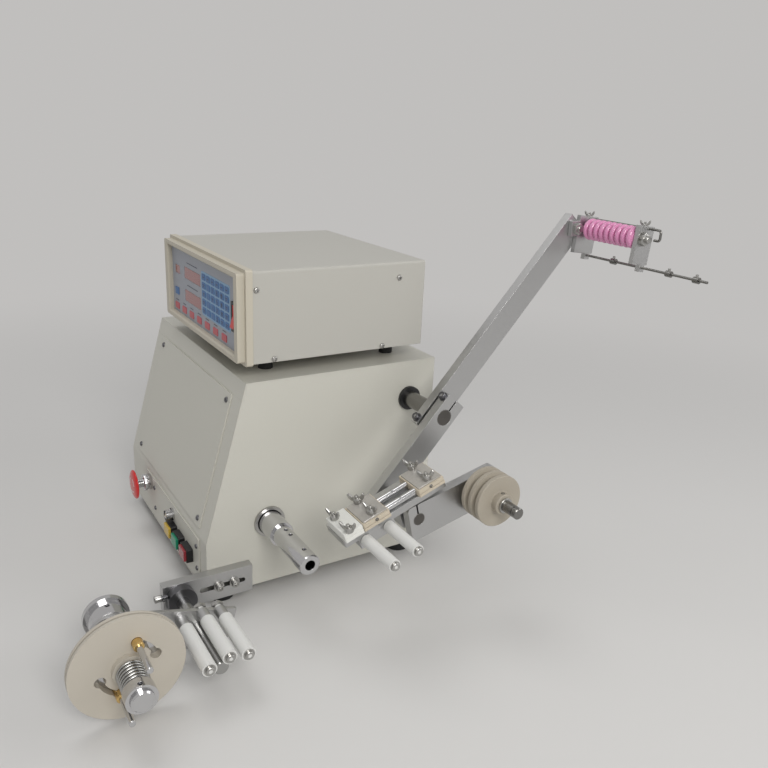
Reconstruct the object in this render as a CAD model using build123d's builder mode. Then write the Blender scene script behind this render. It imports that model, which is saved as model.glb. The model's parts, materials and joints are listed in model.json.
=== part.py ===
"""Bench coil winding machine: base, control case, spindle, traverse, wire guide and brake.

Frame: the spindle axis is the X axis and its open end is the origin. +X points out of the
right side of the machine, -Y towards the operator, +Z up. Millimetres.
"""

import os
from math import cos, pi, radians, sin, sqrt

from build123d import *

os.makedirs("parts", exist_ok=True)

# ---- base housing ------------------------------------------------------------------------
SIDE_X = -110.0            # outer face of the right side sheet
BASE_WIDTH = 317.0
LEFT_X = SIDE_X - BASE_WIDTH
FRONT_Y = -78.0            # upright lower front
TOP_FRONT_Y = -26.5        # front edge of the top
BACK_Y = 226.0
BASE_Z = -82.0             # underside of the bottom sheet
KNEE_Z = -13.5             # where the upright front turns into the slope
TOP_Z = 176.0
KNEE_RADIUS = 14.0
SHEET = 1.5
FOOT_HEIGHT = 18.0
FOOT_RADIUS = 17.0
FOOT_INSET = 25.0
LIP = 21.0                 # top sheet's lip down the slope
FLANGE = 27.0              # front flanges of the side sheets beside the sloped panel
PANEL_LAP = 9.0            # how far a screwed panel laps over its opening
SLOPE_LENGTH = sqrt((TOP_FRONT_Y - FRONT_Y) ** 2 + (TOP_Z - KNEE_Z) ** 2)
ACCESS_LENGTH = SLOPE_LENGTH - LIP - 8.0
SCREW_INSET = 10.0
BASE_MID_X = (SIDE_X + LEFT_X) / 2
BASE_MID_Y = (FRONT_Y + BACK_Y) / 2

# ---- control case ------------------------------------------------------------------------
CASE_RIGHT_X = -112.5
CASE_WIDTH = 260.0
CASE_LEFT_X = CASE_RIGHT_X - CASE_WIDTH
CASE_MID_X = (CASE_RIGHT_X + CASE_LEFT_X) / 2
CASE_FRONT_Y = -17.5
CASE_BACK_Y = 204.5
CASE_Z = 196.0
CASE_HEIGHT = 103.5
CASE_MID_Z = CASE_Z + CASE_HEIGHT / 2
CASE_SHEET = 1.2
BEZEL_STEPS = ((2.0, 8.0), (-2.0, 9.0))      # (overhang past the case, depth) of each step
BEZEL_OPENING = (234.0, 86.0)
PANEL_RECESS = 6.5
PANEL_THICKNESS = 3.0
KEY_RISE = 0.5

# ---- spindle drive -----------------------------------------------------------------------
SPINDLE_R = 12.0
SPINDLE_ROOT_R = 14.5
SPINDLE_ROOT_END = -74.0
SPINDLE_BORE_R = 6.0
SPINDLE_BORE_DEPTH = 45.0
SPINDLE_JOURNAL_R = 10.0
COLLAR_R = 19.0
HOUSING_BACK_X = -190.0
BELT_X = -235.0
BELT_WIDTH = 12.0
BELT_THICKNESS = 2.5
PULLEY_R = 30.0
MOTOR_PULLEY_R = 15.0
MOTOR_Y = 100.0
MOTOR_Z = -22.0
MOTOR_R = 36.0
RUNNING = 0.05             # radial clearance of a running fit
GAP = 0.3                  # clearance between pieces that move past each other

# ---- traverse ----------------------------------------------------------------------------
TRAVERSE_Y = 189.5
TRAVERSE_Z = 127.7
TRAVERSE_R = 10.0
TRAVERSE_END_X = -32.5
SCREW_Z = 92.0             # lead screw, below the traverse shaft
SCREW_R = 5.0

# ---- wire guide arms ---------------------------------------------------------------------
BAR_WIDTH = 30.0
BAR_THICK = 12.0
BAR_ANGLE = 48.5           # both bars, up and back from the horizontal
UPPER_X = -60.5            # inner face of the upper bar
LOWER_X = -44.5            # inner face of the lower bar
UPPER_REACH = (-25.0, 294.5)
LOWER_REACH = (-130.0, 25.0)
PIVOT_DROP = 111.7         # from the traverse shaft down the lower bar to the pivot shaft
PIVOT_R = 7.25
PIVOT_END_X = 34.0
GUIDE_ANGLE = 19.7         # tray and wheel plate, rising to the rear
HEAD_DISTANCE = 285.0      # head bolt, up the upper bar
PLATE_THICK = 6.0
HEAD_RIGHT_X = 39.0        # inner face of the head's right plate
HEAD_MIDDLE = (398.2, 333.0)                 # Y and Z of the plates' middle
HEAD_TILT = -6.0
HEAD_LEFT_SIZE = (-18.5, 12.5, -23.0, 22.5)  # from the middle: along from, to; up from, to
HEAD_RIGHT_SIZE = (-12.3, 12.3, -22.0, 22.5)

# ---- wire brake --------------------------------------------------------------------------
BRAKE_BAR_X = SIDE_X + GAP
BRAKE_BAR_Y = (-133.0, -27.0)
BRAKE_BAR_Z = (-79.2, -45.4)
BRAKE_SHAFT_Y = -114.5
BRAKE_SHAFT_Z = -63.0
BRAKE_SHAFT_R = 7.4
BRAKE_ANGLE = -14.5        # the plate falls to the rear
BRAKE_PLATE_X = (-40.0, -35.0)
BRAKE_ROLLERS = ((-131.7, -48.3, 55.0), (-109.3, -45.5, 50.0), (-89.7, -49.0, 50.0))
DISC_Y = -200.9
DISC_Z = -38.8
DISC_R = 55.0
DISC_X = (16.0, 25.0)
DISC_SHAFT_R = 11.0
DISC_SHAFT_END = 77.0
SPRING_X = (31.0, 60.0)    # from the seat ring to the collar
SPRING_MEAN_R = 12.8
SPRING_WIRE_R = 1.3
SPRING_TURNS = 6


def direction(angle):
    """Unit vector in the YZ plane, angle up from +Y."""
    return Vector(0, cos(radians(angle)), sin(radians(angle)))


def side_plane(x, y, z, angle=0.0):
    """Plane square to X whose own x axis rises at the angle from +Y."""
    return Plane(origin=(x, y, z), x_dir=direction(angle), z_dir=(1, 0, 0))


def rod(x0, x1, radius, y=0.0, z=0.0, mode=Mode.ADD):
    """Round bar along X from x0 to x1."""
    with BuildSketch(side_plane(x0, y, z)) as section:
        Circle(radius)
    extrude(section.sketch, amount=x1 - x0, mode=mode)


def block(x, y, z, mode=Mode.ADD):
    """Box between the two values of each pair."""
    with Locations(((x[0] + x[1]) / 2, (y[0] + y[1]) / 2, (z[0] + z[1]) / 2)):
        Box(x[1] - x[0], y[1] - y[0], z[1] - z[0], mode=mode)


def save(piece, name):
    """Label the finished piece and write it."""
    piece.part.label = name
    export_step(piece.part, f"parts/{name}.step")


# ==== base housing ========================================================================
SLOPE_UP = Vector(0, TOP_FRONT_Y - FRONT_Y, TOP_Z - KNEE_Z).normalized()
SLOPE_PLANE = Plane(
    origin=(BASE_MID_X, TOP_FRONT_Y, TOP_Z),
    x_dir=(1, 0, 0),
    z_dir=Vector(1, 0, 0).cross(SLOPE_UP),
)
FRONT_PLANE = Plane(origin=(0, FRONT_Y, 0), x_dir=(1, 0, 0), z_dir=(0, -1, 0))
REAR_PLANE = Plane(origin=(0, BACK_Y, 0), x_dir=(-1, 0, 0), z_dir=(0, 1, 0))


def base_prism(inset):
    """Solid base, seen from the side as an outline with a rounded knee, less the inset."""
    with BuildPart() as prism:
        with BuildSketch(side_plane(LEFT_X + inset, 0, 0)) as outline:
            with BuildLine():
                Polyline(
                    (FRONT_Y, BASE_Z),
                    (FRONT_Y, KNEE_Z),
                    (TOP_FRONT_Y, TOP_Z),
                    (BACK_Y, TOP_Z),
                    (BACK_Y, BASE_Z),
                    close=True,
                )
            make_face()
            knee = outline.vertices().group_by(Axis.X)[0].sort_by(Axis.Y)[-1]
            fillet(knee, KNEE_RADIUS)
            if inset:
                offset(amount=-inset)
        extrude(amount=BASE_WIDTH - 2 * inset)
    return prism.part


base_outside = base_prism(0)
base_inside = base_prism(SHEET)
lip_end = Vector(0, TOP_FRONT_Y, TOP_Z) - SLOPE_UP * LIP
slope_in = SLOPE_PLANE.z_dir * -1
corner_rise = SHEET * (1 - slope_in.Z * -1) / SLOPE_UP.Z
inner_corner = Vector(0, TOP_FRONT_Y, TOP_Z) + slope_in * SHEET - SLOPE_UP * corner_rise

with BuildPart() as top_cover:
    add(base_outside)
    with BuildSketch(side_plane(LEFT_X, 0, 0)):
        with BuildLine():
            below = lip_end + slope_in * SHEET
            above = lip_end - slope_in * LIP
            Polyline(
                (above.Y, above.Z),
                (below.Y, below.Z),
                (inner_corner.Y, TOP_Z - SHEET),
                (BACK_Y + LIP, TOP_Z - SHEET),
                (BACK_Y + LIP, BASE_Z - LIP),
                (FRONT_Y - LIP, BASE_Z - LIP),
                (FRONT_Y - LIP, above.Z),
                close=True,
            )
        make_face()
    extrude(amount=BASE_WIDTH, mode=Mode.SUBTRACT)
save(top_cover, "top_cover")

SWITCH_X = (-352.0, -133.0)
SWITCH_Z = (-76.0, -17.5)
SWITCH_OPEN_X = (-305.0, -149.0)
SWITCH_OPEN_Z = (-67.0, -26.5)
SWITCH_SCREWS = ((-314.0, -30.5), (-314.0, -61.0), (-141.0, -29.5), (-141.0, -59.0))
BUTTON_X = {"button_red": -167.0, "button_green": -198.0, "button_yellow": -228.0}
BUTTON_Z = -50.0
SOCKET_X = -233.0
SOCKET_Z = -31.0
SOCKET_R = 6.5             # hole in the sheet
ESTOP_X = -334.0
ESTOP_Z = -29.5
ESTOP_NECK_R = 8.0          # hole of the stop switch in the panel
BRAKE_BOLTS = (-68.3, -49.5)
REAR_LAP = 14.0
CARRY_BOLT_R = 2.5

with BuildPart() as base_chassis:
    add(base_outside)
    add(base_inside, mode=Mode.SUBTRACT)
    add(top_cover.part, mode=Mode.SUBTRACT)
    # opening behind the sloped panel
    with BuildSketch(SLOPE_PLANE):
        with Locations((0, -LIP - ACCESS_LENGTH / 2)):
            Rectangle(BASE_WIDTH - 2 * (FLANGE + PANEL_LAP), ACCESS_LENGTH - 2 * PANEL_LAP)
    extrude(amount=-2 * SHEET, mode=Mode.SUBTRACT)
    # opening behind the switch panel, holes of the stop switch and the socket
    block(SWITCH_OPEN_X, (FRONT_Y - SHEET, FRONT_Y + 2 * SHEET), SWITCH_OPEN_Z, Mode.SUBTRACT)
    with BuildSketch(FRONT_PLANE):
        with Locations((ESTOP_X, ESTOP_Z)):
            Circle(ESTOP_NECK_R + 1)
        with Locations((SOCKET_X, SOCKET_Z)):
            Circle(SOCKET_R + 1)
    extrude(amount=-2 * SHEET, mode=Mode.SUBTRACT)
    # rear opening
    block(
        (LEFT_X + REAR_LAP, SIDE_X - REAR_LAP),
        (BACK_Y - 2 * SHEET, BACK_Y + SHEET),
        (BASE_Z + REAR_LAP, TOP_Z - REAR_LAP),
        Mode.SUBTRACT,
    )
    # holes of the right side sheet: spindle collar, traverse bush, brake bar bolts
    rod(SIDE_X - 2 * SHEET, SIDE_X + 1, COLLAR_R, mode=Mode.SUBTRACT)
    rod(SIDE_X - 2 * SHEET, SIDE_X + 1, 14, TRAVERSE_Y, TRAVERSE_Z, Mode.SUBTRACT)
    for bolt_y in BRAKE_BOLTS:
        rod(SIDE_X - 2 * SHEET, SIDE_X + 1, CARRY_BOLT_R, bolt_y, -62.3, Mode.SUBTRACT)
save(base_chassis, "base_chassis")

with BuildPart() as access_panel:
    with BuildSketch(SLOPE_PLANE):
        with Locations((0, -LIP - ACCESS_LENGTH / 2)):
            RectangleRounded(BASE_WIDTH - 2 * FLANGE, ACCESS_LENGTH - 1, 2)
    extrude(amount=SHEET)
save(access_panel, "access_panel")

with BuildPart() as switch_panel:
    with BuildSketch(FRONT_PLANE):
        with Locations((sum(SWITCH_X) / 2, sum(SWITCH_Z) / 2)):
            RectangleRounded(SWITCH_X[1] - SWITCH_X[0], SWITCH_Z[1] - SWITCH_Z[0], 2)
        with Locations([(x, BUTTON_Z) for x in BUTTON_X.values()]):
            Rectangle(22, 16, mode=Mode.SUBTRACT)
        with Locations((SOCKET_X, SOCKET_Z)):
            Circle(SOCKET_R, mode=Mode.SUBTRACT)
        with Locations((ESTOP_X, ESTOP_Z)):
            Circle(ESTOP_NECK_R, mode=Mode.SUBTRACT)
    extrude(amount=SHEET)
save(switch_panel, "switch_panel")

INLET_X = -330.0
INLET_Z = -40.0
with BuildPart() as rear_panel:
    with BuildSketch(Plane(origin=(0, BACK_Y, 0), x_dir=(-1, 0, 0), z_dir=(0, 1, 0))):
        with Locations((-BASE_MID_X, (BASE_Z + TOP_Z) / 2)):
            RectangleRounded(BASE_WIDTH - 4, TOP_Z - BASE_Z - 4, 2)
        with Locations((-INLET_X, INLET_Z)):
            Rectangle(28, 20, mode=Mode.SUBTRACT)
        with Locations((-BASE_MID_X - 40, 70)):
            with GridLocations(12, 0, 12, 1):
                SlotOverall(60, 4, rotation=90, mode=Mode.SUBTRACT)
    extrude(amount=SHEET)
save(rear_panel, "rear_panel")


def cap_screw(plane, head_radius, head_height):
    """Domed screw head standing on a plane."""
    with BuildSketch(plane) as head:
        Circle(head_radius)
    extrude(head.sketch, amount=head_height)


def on_plane(plane, x, y, lift=0.0):
    """The same plane moved to a point given in its own x and y."""
    spot = plane.from_local_coords(Vector(x, y, lift))
    return Plane(origin=spot, x_dir=plane.x_dir, z_dir=plane.z_dir)


access_half = BASE_WIDTH / 2 - FLANGE - SCREW_INSET
slope_rows = (-LIP - SCREW_INSET, -LIP - ACCESS_LENGTH + SCREW_INSET)
CASE_SIDE_PLANE = Plane(origin=(CASE_RIGHT_X, 0, 0), x_dir=(0, 1, 0), z_dir=(1, 0, 0))
CASE_FAR_PLANE = Plane(origin=(CASE_LEFT_X, 0, 0), x_dir=(0, -1, 0), z_dir=(-1, 0, 0))
CASE_SCREWS = ((-12.5, 279.0), (168.6, 281.0), (8.2, 199.6), (148.5, 199.1))
REAR_SCREWS = [(x, z) for x in (-BASE_WIDTH / 2 + 9, BASE_WIDTH / 2 - 9) for z in (-75.0, 47.0, 169.0)]
with BuildPart() as panel_screws:
    for x in (-access_half, access_half):
        for y in slope_rows:
            cap_screw(on_plane(SLOPE_PLANE, x, y, SHEET), 3.2, 1.8)
    for x, z in SWITCH_SCREWS:
        cap_screw(on_plane(FRONT_PLANE, x, z, SHEET), 3.0, 1.6)
    for y, z in CASE_SCREWS:
        cap_screw(on_plane(CASE_SIDE_PLANE, y, z), 3.2, 1.8)
        cap_screw(on_plane(CASE_FAR_PLANE, -y, z), 3.2, 1.8)
    for x, z in REAR_SCREWS:
        cap_screw(on_plane(REAR_PLANE, x - BASE_MID_X, z, SHEET), 3.0, 1.6)
    # the two socket bolts of the brake bar, with their washers, through the side sheet
    for bolt_y in BRAKE_BOLTS:
        rod(SIDE_X - 8, SIDE_X + GAP + BAR_THICK + GAP, CARRY_BOLT_R, bolt_y, -62.3)
        rod(SIDE_X + BAR_THICK + 2 * GAP, SIDE_X + BAR_THICK + 1.9, 6, bolt_y, -62.3)
        rod(SIDE_X + BAR_THICK + 1.9, SIDE_X + BAR_THICK + 6.9, 4.25, bolt_y, -62.3)
save(panel_screws, "panel_screws")

CASE_FOOT_R = 8.5
CASE_FOOT_INSET = 44.0
CASE_FOOT_PITCH = 165.0
CASE_FOOT_MID_Y = 98.5
with BuildPart() as rubber_feet:
    with BuildSketch(Plane.XY.offset(BASE_Z)):
        with Locations((BASE_MID_X, BASE_MID_Y)):
            with GridLocations(BASE_WIDTH - 2 * FOOT_INSET, BACK_Y - FRONT_Y - 2 * FOOT_INSET, 2, 2):
                Circle(FOOT_RADIUS)
    extrude(amount=-FOOT_HEIGHT, taper=6)
    with BuildSketch(Plane.XY.offset(TOP_Z)):
        with Locations((CASE_MID_X, CASE_FOOT_MID_Y)):
            with GridLocations(CASE_WIDTH - 2 * CASE_FOOT_INSET, CASE_FOOT_PITCH, 2, 2):
                Circle(CASE_FOOT_R)
    extrude(amount=CASE_Z - TOP_Z)
save(rubber_feet, "rubber_feet")

# ==== switches on the lower front =========================================================
SWITCH_FACE_Y = FRONT_Y - SHEET
HOUSING_DEPTH = 8.0
with BuildPart() as switch_bodies:
    for button_x in BUTTON_X.values():
        with BuildSketch(on_plane(FRONT_PLANE, button_x, BUTTON_Z, SHEET)):
            RectangleRounded(24, 18, 1.5)
            RectangleRounded(20.6, 14.6, 1, mode=Mode.SUBTRACT)
        extrude(amount=HOUSING_DEPTH)
        with BuildSketch(on_plane(FRONT_PLANE, button_x, BUTTON_Z, SHEET)):
            Rectangle(21.6, 15.6)
        extrude(amount=-30)
    with BuildSketch(on_plane(FRONT_PLANE, ESTOP_X, ESTOP_Z, -SHEET)):
        Rectangle(26, 26)
    extrude(amount=-32)
save(switch_bodies, "switch_bodies")

ESTOP_STEM_R = 6.0
ESTOP_COLLAR_R = 11.0
ESTOP_RINGS = ((0.0, 5.0, 0.0), (5.0, 6.0, 0.8), (6.0, 10.5, 0.0))   # start, end and how much smaller
with BuildPart() as estop_collar:
    for start, end, step in ESTOP_RINGS:
        with BuildSketch(on_plane(FRONT_PLANE, ESTOP_X, ESTOP_Z, SHEET + start)):
            Circle(ESTOP_COLLAR_R - step)
            Circle(ESTOP_STEM_R + GAP, mode=Mode.SUBTRACT)
        extrude(amount=end - start)
    chamfer(estop_collar.edges().group_by(Axis.Y)[0], 0.8)
    with BuildSketch(on_plane(FRONT_PLANE, ESTOP_X, ESTOP_Z, SHEET)):
        Circle(ESTOP_NECK_R - 0.1)
        Circle(ESTOP_STEM_R + GAP, mode=Mode.SUBTRACT)
    extrude(amount=-2 * SHEET)
save(estop_collar, "estop_collar")

ESTOP_STEM = (6.5, 21.5)   # the stem's two ends in front of the sheet
ESTOP_HEAD = 5.5
ESTOP_HEAD_R = 20.0
with BuildPart() as estop_button:
    with BuildSketch(on_plane(FRONT_PLANE, ESTOP_X, ESTOP_Z, ESTOP_STEM[0])):
        Circle(ESTOP_STEM_R)
    extrude(amount=ESTOP_STEM[1] - ESTOP_STEM[0])
    with BuildSketch(on_plane(FRONT_PLANE, ESTOP_X, ESTOP_Z, ESTOP_STEM[1])):
        Circle(ESTOP_HEAD_R)
    extrude(amount=ESTOP_HEAD)
    fillet(estop_button.edges().group_by(Axis.Y)[0], 4)
save(estop_button, "estop_button")

for button_name, button_x in BUTTON_X.items():
    with BuildPart() as push_button:
        with BuildSketch(on_plane(FRONT_PLANE, button_x, BUTTON_Z, SHEET + 3.5)):
            RectangleRounded(20, 14, 0.8)
        extrude(amount=7.5)
        fillet(push_button.faces().sort_by(Axis.Y)[0].edges(), 0.8)
    save(push_button, button_name)

with BuildPart() as foot_switch_socket:
    with BuildSketch(on_plane(FRONT_PLANE, SOCKET_X, SOCKET_Z, SHEET)):
        Circle(8)
    extrude(amount=2)
    with BuildSketch(on_plane(FRONT_PLANE, SOCKET_X, SOCKET_Z, SHEET + 2)):
        Circle(SOCKET_R)
        Circle(5.4, mode=Mode.SUBTRACT)
    extrude(amount=8)
    with BuildSketch(on_plane(FRONT_PLANE, SOCKET_X, SOCKET_Z, SHEET)):
        Circle(SOCKET_R - 0.1)
    extrude(amount=-18)
save(foot_switch_socket, "foot_switch_socket")

with BuildPart() as power_inlet:
    with BuildSketch(on_plane(REAR_PLANE, -INLET_X, INLET_Z, SHEET)):
        RectangleRounded(50, 23, 3)
    extrude(amount=3)
    with BuildSketch(on_plane(REAR_PLANE, -INLET_X, INLET_Z, SHEET)):
        RectangleRounded(27.6, 19.6, 3)
    extrude(amount=-26)
    with BuildSketch(on_plane(REAR_PLANE, -INLET_X, INLET_Z, SHEET + 3)):
        RectangleRounded(24, 16, 3)
    extrude(amount=-16, mode=Mode.SUBTRACT)
    with BuildSketch(on_plane(REAR_PLANE, -INLET_X, INLET_Z, SHEET - 13)):
        with Locations((-7, -2), (7, -2), (0, 3)):
            Rectangle(2, 4)
    extrude(amount=12)
save(power_inlet, "power_inlet")

# ==== control case ========================================================================
with BuildPart() as case_cover:
    with BuildSketch(Plane.XZ.offset(-CASE_FRONT_Y)) as cover_face:
        with Locations((CASE_MID_X, CASE_MID_Z)):
            Rectangle(CASE_WIDTH, CASE_HEIGHT)
        fillet(cover_face.vertices().group_by(Axis.Y)[-1], 3)
        with Locations((CASE_MID_X, CASE_MID_Z - CASE_SHEET)):
            Rectangle(CASE_WIDTH - 2 * CASE_SHEET, CASE_HEIGHT, mode=Mode.SUBTRACT)
    extrude(amount=-(CASE_BACK_Y - CASE_FRONT_Y))
save(case_cover, "case_cover")

with BuildPart() as case_base:
    inner_x = (CASE_LEFT_X + CASE_SHEET, CASE_RIGHT_X - CASE_SHEET)
    block(inner_x, (CASE_FRONT_Y, CASE_BACK_Y), (CASE_Z, CASE_Z + CASE_SHEET))
    block(
        inner_x,
        (CASE_BACK_Y - CASE_SHEET, CASE_BACK_Y),
        (CASE_Z + CASE_SHEET, CASE_Z + CASE_HEIGHT - CASE_SHEET),
    )
    with BuildSketch(Plane(origin=(CASE_MID_X, CASE_BACK_Y, CASE_MID_Z), z_dir=(0, 1, 0))):
        with GridLocations(0, 8, 1, 7):
            SlotOverall(70, 3, mode=Mode.ADD)
    extrude(amount=-2 * CASE_SHEET, mode=Mode.SUBTRACT)
save(case_base, "case_base")

BEZEL_FRONT_Y = CASE_FRONT_Y - sum(depth for _, depth in BEZEL_STEPS)
PANEL_FACE_Y = BEZEL_FRONT_Y + PANEL_RECESS
PANEL_MID = (CASE_MID_X, CASE_Z + CASE_HEIGHT / 2)
with BuildPart() as bezel:
    step_y = CASE_FRONT_Y
    for overhang, depth in BEZEL_STEPS:
        with BuildSketch(Plane.XZ.offset(-step_y)):
            with Locations(PANEL_MID):
                RectangleRounded(CASE_WIDTH + 2 * overhang, CASE_HEIGHT + 2 * overhang, 3)
                Rectangle(*BEZEL_OPENING, mode=Mode.SUBTRACT)
        extrude(amount=depth)
        step_y -= depth
    chamfer(bezel.faces().sort_by(Axis.Y)[0].inner_wires()[0].edges(), 2)
save(bezel, "bezel")

PANEL_PLANE = Plane(origin=(0, PANEL_FACE_Y, 0), x_dir=(1, 0, 0), z_dir=(0, -1, 0))
ROCKER_X = -135.5
ROCKER_Z = 245.0
KEY_COLUMNS = 6
KEY_ROWS = 5
KEY_GRID_MID = (-198.0, 250.0)
KEY_PITCH = (15.3, 10.2)
ROW_KEYS_MID = (-257.0, 213.0)
ROW_KEYS_PITCH = 28.8
WINDOWS = ((-280.5, 263.0), (-280.5, 234.0))
with BuildPart() as keypad_panel:
    with BuildSketch(PANEL_PLANE):
        with Locations(PANEL_MID):
            Rectangle(BEZEL_OPENING[0], BEZEL_OPENING[1])
        with Locations((ROCKER_X, ROCKER_Z)):
            Rectangle(14.2, 32.2, mode=Mode.SUBTRACT)
    extrude(amount=-PANEL_THICKNESS)
    with BuildSketch(PANEL_PLANE):
        with Locations(KEY_GRID_MID):
            with GridLocations(*KEY_PITCH, KEY_COLUMNS, KEY_ROWS):
                RectangleRounded(12, 7.6, 1)
        with Locations(ROW_KEYS_MID):
            with GridLocations(ROW_KEYS_PITCH, 0, 7, 1):
                RectangleRounded(15, 8, 1)
        with Locations((-342, 233)):
            RectangleRounded(14, 9, 1)
    extrude(amount=KEY_RISE)
    with BuildSketch(PANEL_PLANE):
        with Locations(*WINDOWS):
            Rectangle(60, 15)
        with Locations((-338, 262)):
            Rectangle(18, 11)
    extrude(amount=-0.4, mode=Mode.SUBTRACT)
save(keypad_panel, "keypad_panel")

ROCKER_TILT = 8.0
ROCKER_AXIS_Y = PANEL_FACE_Y + 2.0
with BuildPart() as rocker_frame:
    with BuildSketch(on_plane(PANEL_PLANE, ROCKER_X, ROCKER_Z)):
        Rectangle(16, 34)
        Rectangle(11.4, 27.4, mode=Mode.SUBTRACT)
    extrude(amount=2)
    with BuildSketch(on_plane(PANEL_PLANE, ROCKER_X, ROCKER_Z)):
        Rectangle(14, 32)
        Rectangle(11.4, 27.4, mode=Mode.SUBTRACT)
    extrude(amount=-14)
    with BuildSketch(on_plane(PANEL_PLANE, ROCKER_X, ROCKER_Z, -14)):
        Rectangle(14, 32)
    extrude(amount=-4)
save(rocker_frame, "rocker_frame")

with BuildPart() as rocker_switch:
    rocker_plane = Plane(
        origin=(ROCKER_X - 5.4, ROCKER_AXIS_Y, ROCKER_Z),
        x_dir=direction(-ROCKER_TILT),
        z_dir=(1, 0, 0),
    )
    with BuildSketch(rocker_plane):
        with BuildLine():
            Polyline((7, -8), (-5.2, -12.6), (-3.4, 0), (-5.2, 12.6), (7, 8), close=True)
        make_face()
    extrude(amount=10.8)
save(rocker_switch, "rocker_switch")

# ==== inside the base: spindle drive ======================================================
BEARING_R = 21.0
BEARING_WIDTH = 12.0
BEARING_X = (HOUSING_BACK_X, SIDE_X - SHEET - 20)
with BuildPart() as spindle_housing:
    rod(HOUSING_BACK_X, SIDE_X - SHEET, 27)
    rod(SIDE_X - SHEET - 9, SIDE_X - SHEET, 40)
    rod(SIDE_X - SHEET, SIDE_X + 3, COLLAR_R)
    rod(HOUSING_BACK_X, SIDE_X - SHEET - 8, BEARING_R, mode=Mode.SUBTRACT)
    rod(SIDE_X - SHEET - 8, SIDE_X + 3, SPINDLE_ROOT_R + 1, mode=Mode.SUBTRACT)
save(spindle_housing, "spindle_housing")

with BuildPart() as spindle_bearings:
    for bearing_x in BEARING_X:
        rod(bearing_x, bearing_x + BEARING_WIDTH, BEARING_R)
        rod(bearing_x, bearing_x + BEARING_WIDTH, SPINDLE_JOURNAL_R + RUNNING, mode=Mode.SUBTRACT)
save(spindle_bearings, "spindle_bearings")

with BuildPart() as spindle_shaft:
    rod(BELT_X - BELT_WIDTH / 2 - 8, SIDE_X - SHEET - 7, SPINDLE_JOURNAL_R)
    rod(SIDE_X - SHEET - 7, SPINDLE_ROOT_END, SPINDLE_ROOT_R)
    rod(SPINDLE_ROOT_END, 0, SPINDLE_R)
    chamfer(spindle_shaft.edges().filter_by(GeomType.CIRCLE).group_by(Axis.X)[-1], 1.2)
    rod(-SPINDLE_BORE_DEPTH, 0, SPINDLE_BORE_R, mode=Mode.SUBTRACT)
    # radial holes of the grub screws that grip the winding mandrel
    for grub_x in (-62.0, -50.0, -15.0):
        with BuildSketch(Plane.XY):
            with Locations((grub_x, 0)):
                Circle(2.5)
        extrude(amount=SPINDLE_ROOT_R, mode=Mode.SUBTRACT)
save(spindle_shaft, "spindle_shaft")

belt_low = BELT_X - BELT_WIDTH / 2
belt_high = BELT_X + BELT_WIDTH / 2


def grooved_pulley(radius, y, z, bore, hub):
    """Flat belt pulley with two thin flanges, clear of the belt on both sides."""
    rod(belt_low - 2, belt_high + 2, radius + 4, y, z)
    with BuildSketch(side_plane(belt_low - GAP, y, z)) as track:
        Circle(radius + 4)
        Circle(radius, mode=Mode.SUBTRACT)
    extrude(track.sketch, amount=BELT_WIDTH + 2 * GAP, mode=Mode.SUBTRACT)
    rod(belt_high + 2, belt_high + 10, hub, y, z)
    if bore:
        rod(belt_low - 2, belt_high + 10, bore, y, z, Mode.SUBTRACT)


with BuildPart() as spindle_pulley:
    grooved_pulley(PULLEY_R, 0, 0, SPINDLE_JOURNAL_R, 16)
save(spindle_pulley, "spindle_pulley")

MOTOR_FACE_X = belt_high + 14
with BuildPart() as motor_pulley:
    grooved_pulley(MOTOR_PULLEY_R, MOTOR_Y, MOTOR_Z, 0, 9)
    rod(belt_high + 10, MOTOR_FACE_X + 18, 6, MOTOR_Y, MOTOR_Z)
save(motor_pulley, "motor_pulley")

MOTOR_LENGTH = 88.0
with BuildPart() as drive_motor:
    rod(MOTOR_FACE_X, MOTOR_FACE_X + MOTOR_LENGTH, MOTOR_R, MOTOR_Y, MOTOR_Z)
    block(
        (MOTOR_FACE_X + 12, MOTOR_FACE_X + MOTOR_LENGTH - 12),
        (MOTOR_Y - 34, MOTOR_Y + 34),
        (BASE_Z + SHEET, MOTOR_Z - 22),
    )
    rod(MOTOR_FACE_X, MOTOR_FACE_X + 20, 6 + RUNNING, MOTOR_Y, MOTOR_Z, Mode.SUBTRACT)
save(drive_motor, "drive_motor")


def belt_outline(spindle_radius, motor_radius):
    """Open-belt loop round the two pulleys, as one closed face."""
    with Locations((0, 0)):
        Circle(spindle_radius)
    with Locations((MOTOR_Y, MOTOR_Z)):
        Circle(motor_radius)
    make_hull()


with BuildPart() as drive_belt:
    with BuildSketch(side_plane(belt_low, 0, 0)):
        belt_outline(PULLEY_R + GAP + BELT_THICKNESS, MOTOR_PULLEY_R + GAP + BELT_THICKNESS)
    extrude(amount=BELT_WIDTH)
    with BuildSketch(side_plane(belt_low, 0, 0)):
        belt_outline(PULLEY_R + GAP, MOTOR_PULLEY_R + GAP)
    extrude(amount=BELT_WIDTH, mode=Mode.SUBTRACT)
save(drive_belt, "drive_belt")

# ==== inside the base: traverse drive and electronics =====================================
BUSH_FACE_X = SIDE_X + 4
with BuildPart() as traverse_bush:
    rod(SIDE_X, BUSH_FACE_X, 15, TRAVERSE_Y, TRAVERSE_Z)
    rod(-165, SIDE_X, 14, TRAVERSE_Y, TRAVERSE_Z)
    rod(-165, BUSH_FACE_X, TRAVERSE_R + RUNNING, TRAVERSE_Y, TRAVERSE_Z, Mode.SUBTRACT)
save(traverse_bush, "traverse_bush")

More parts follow.
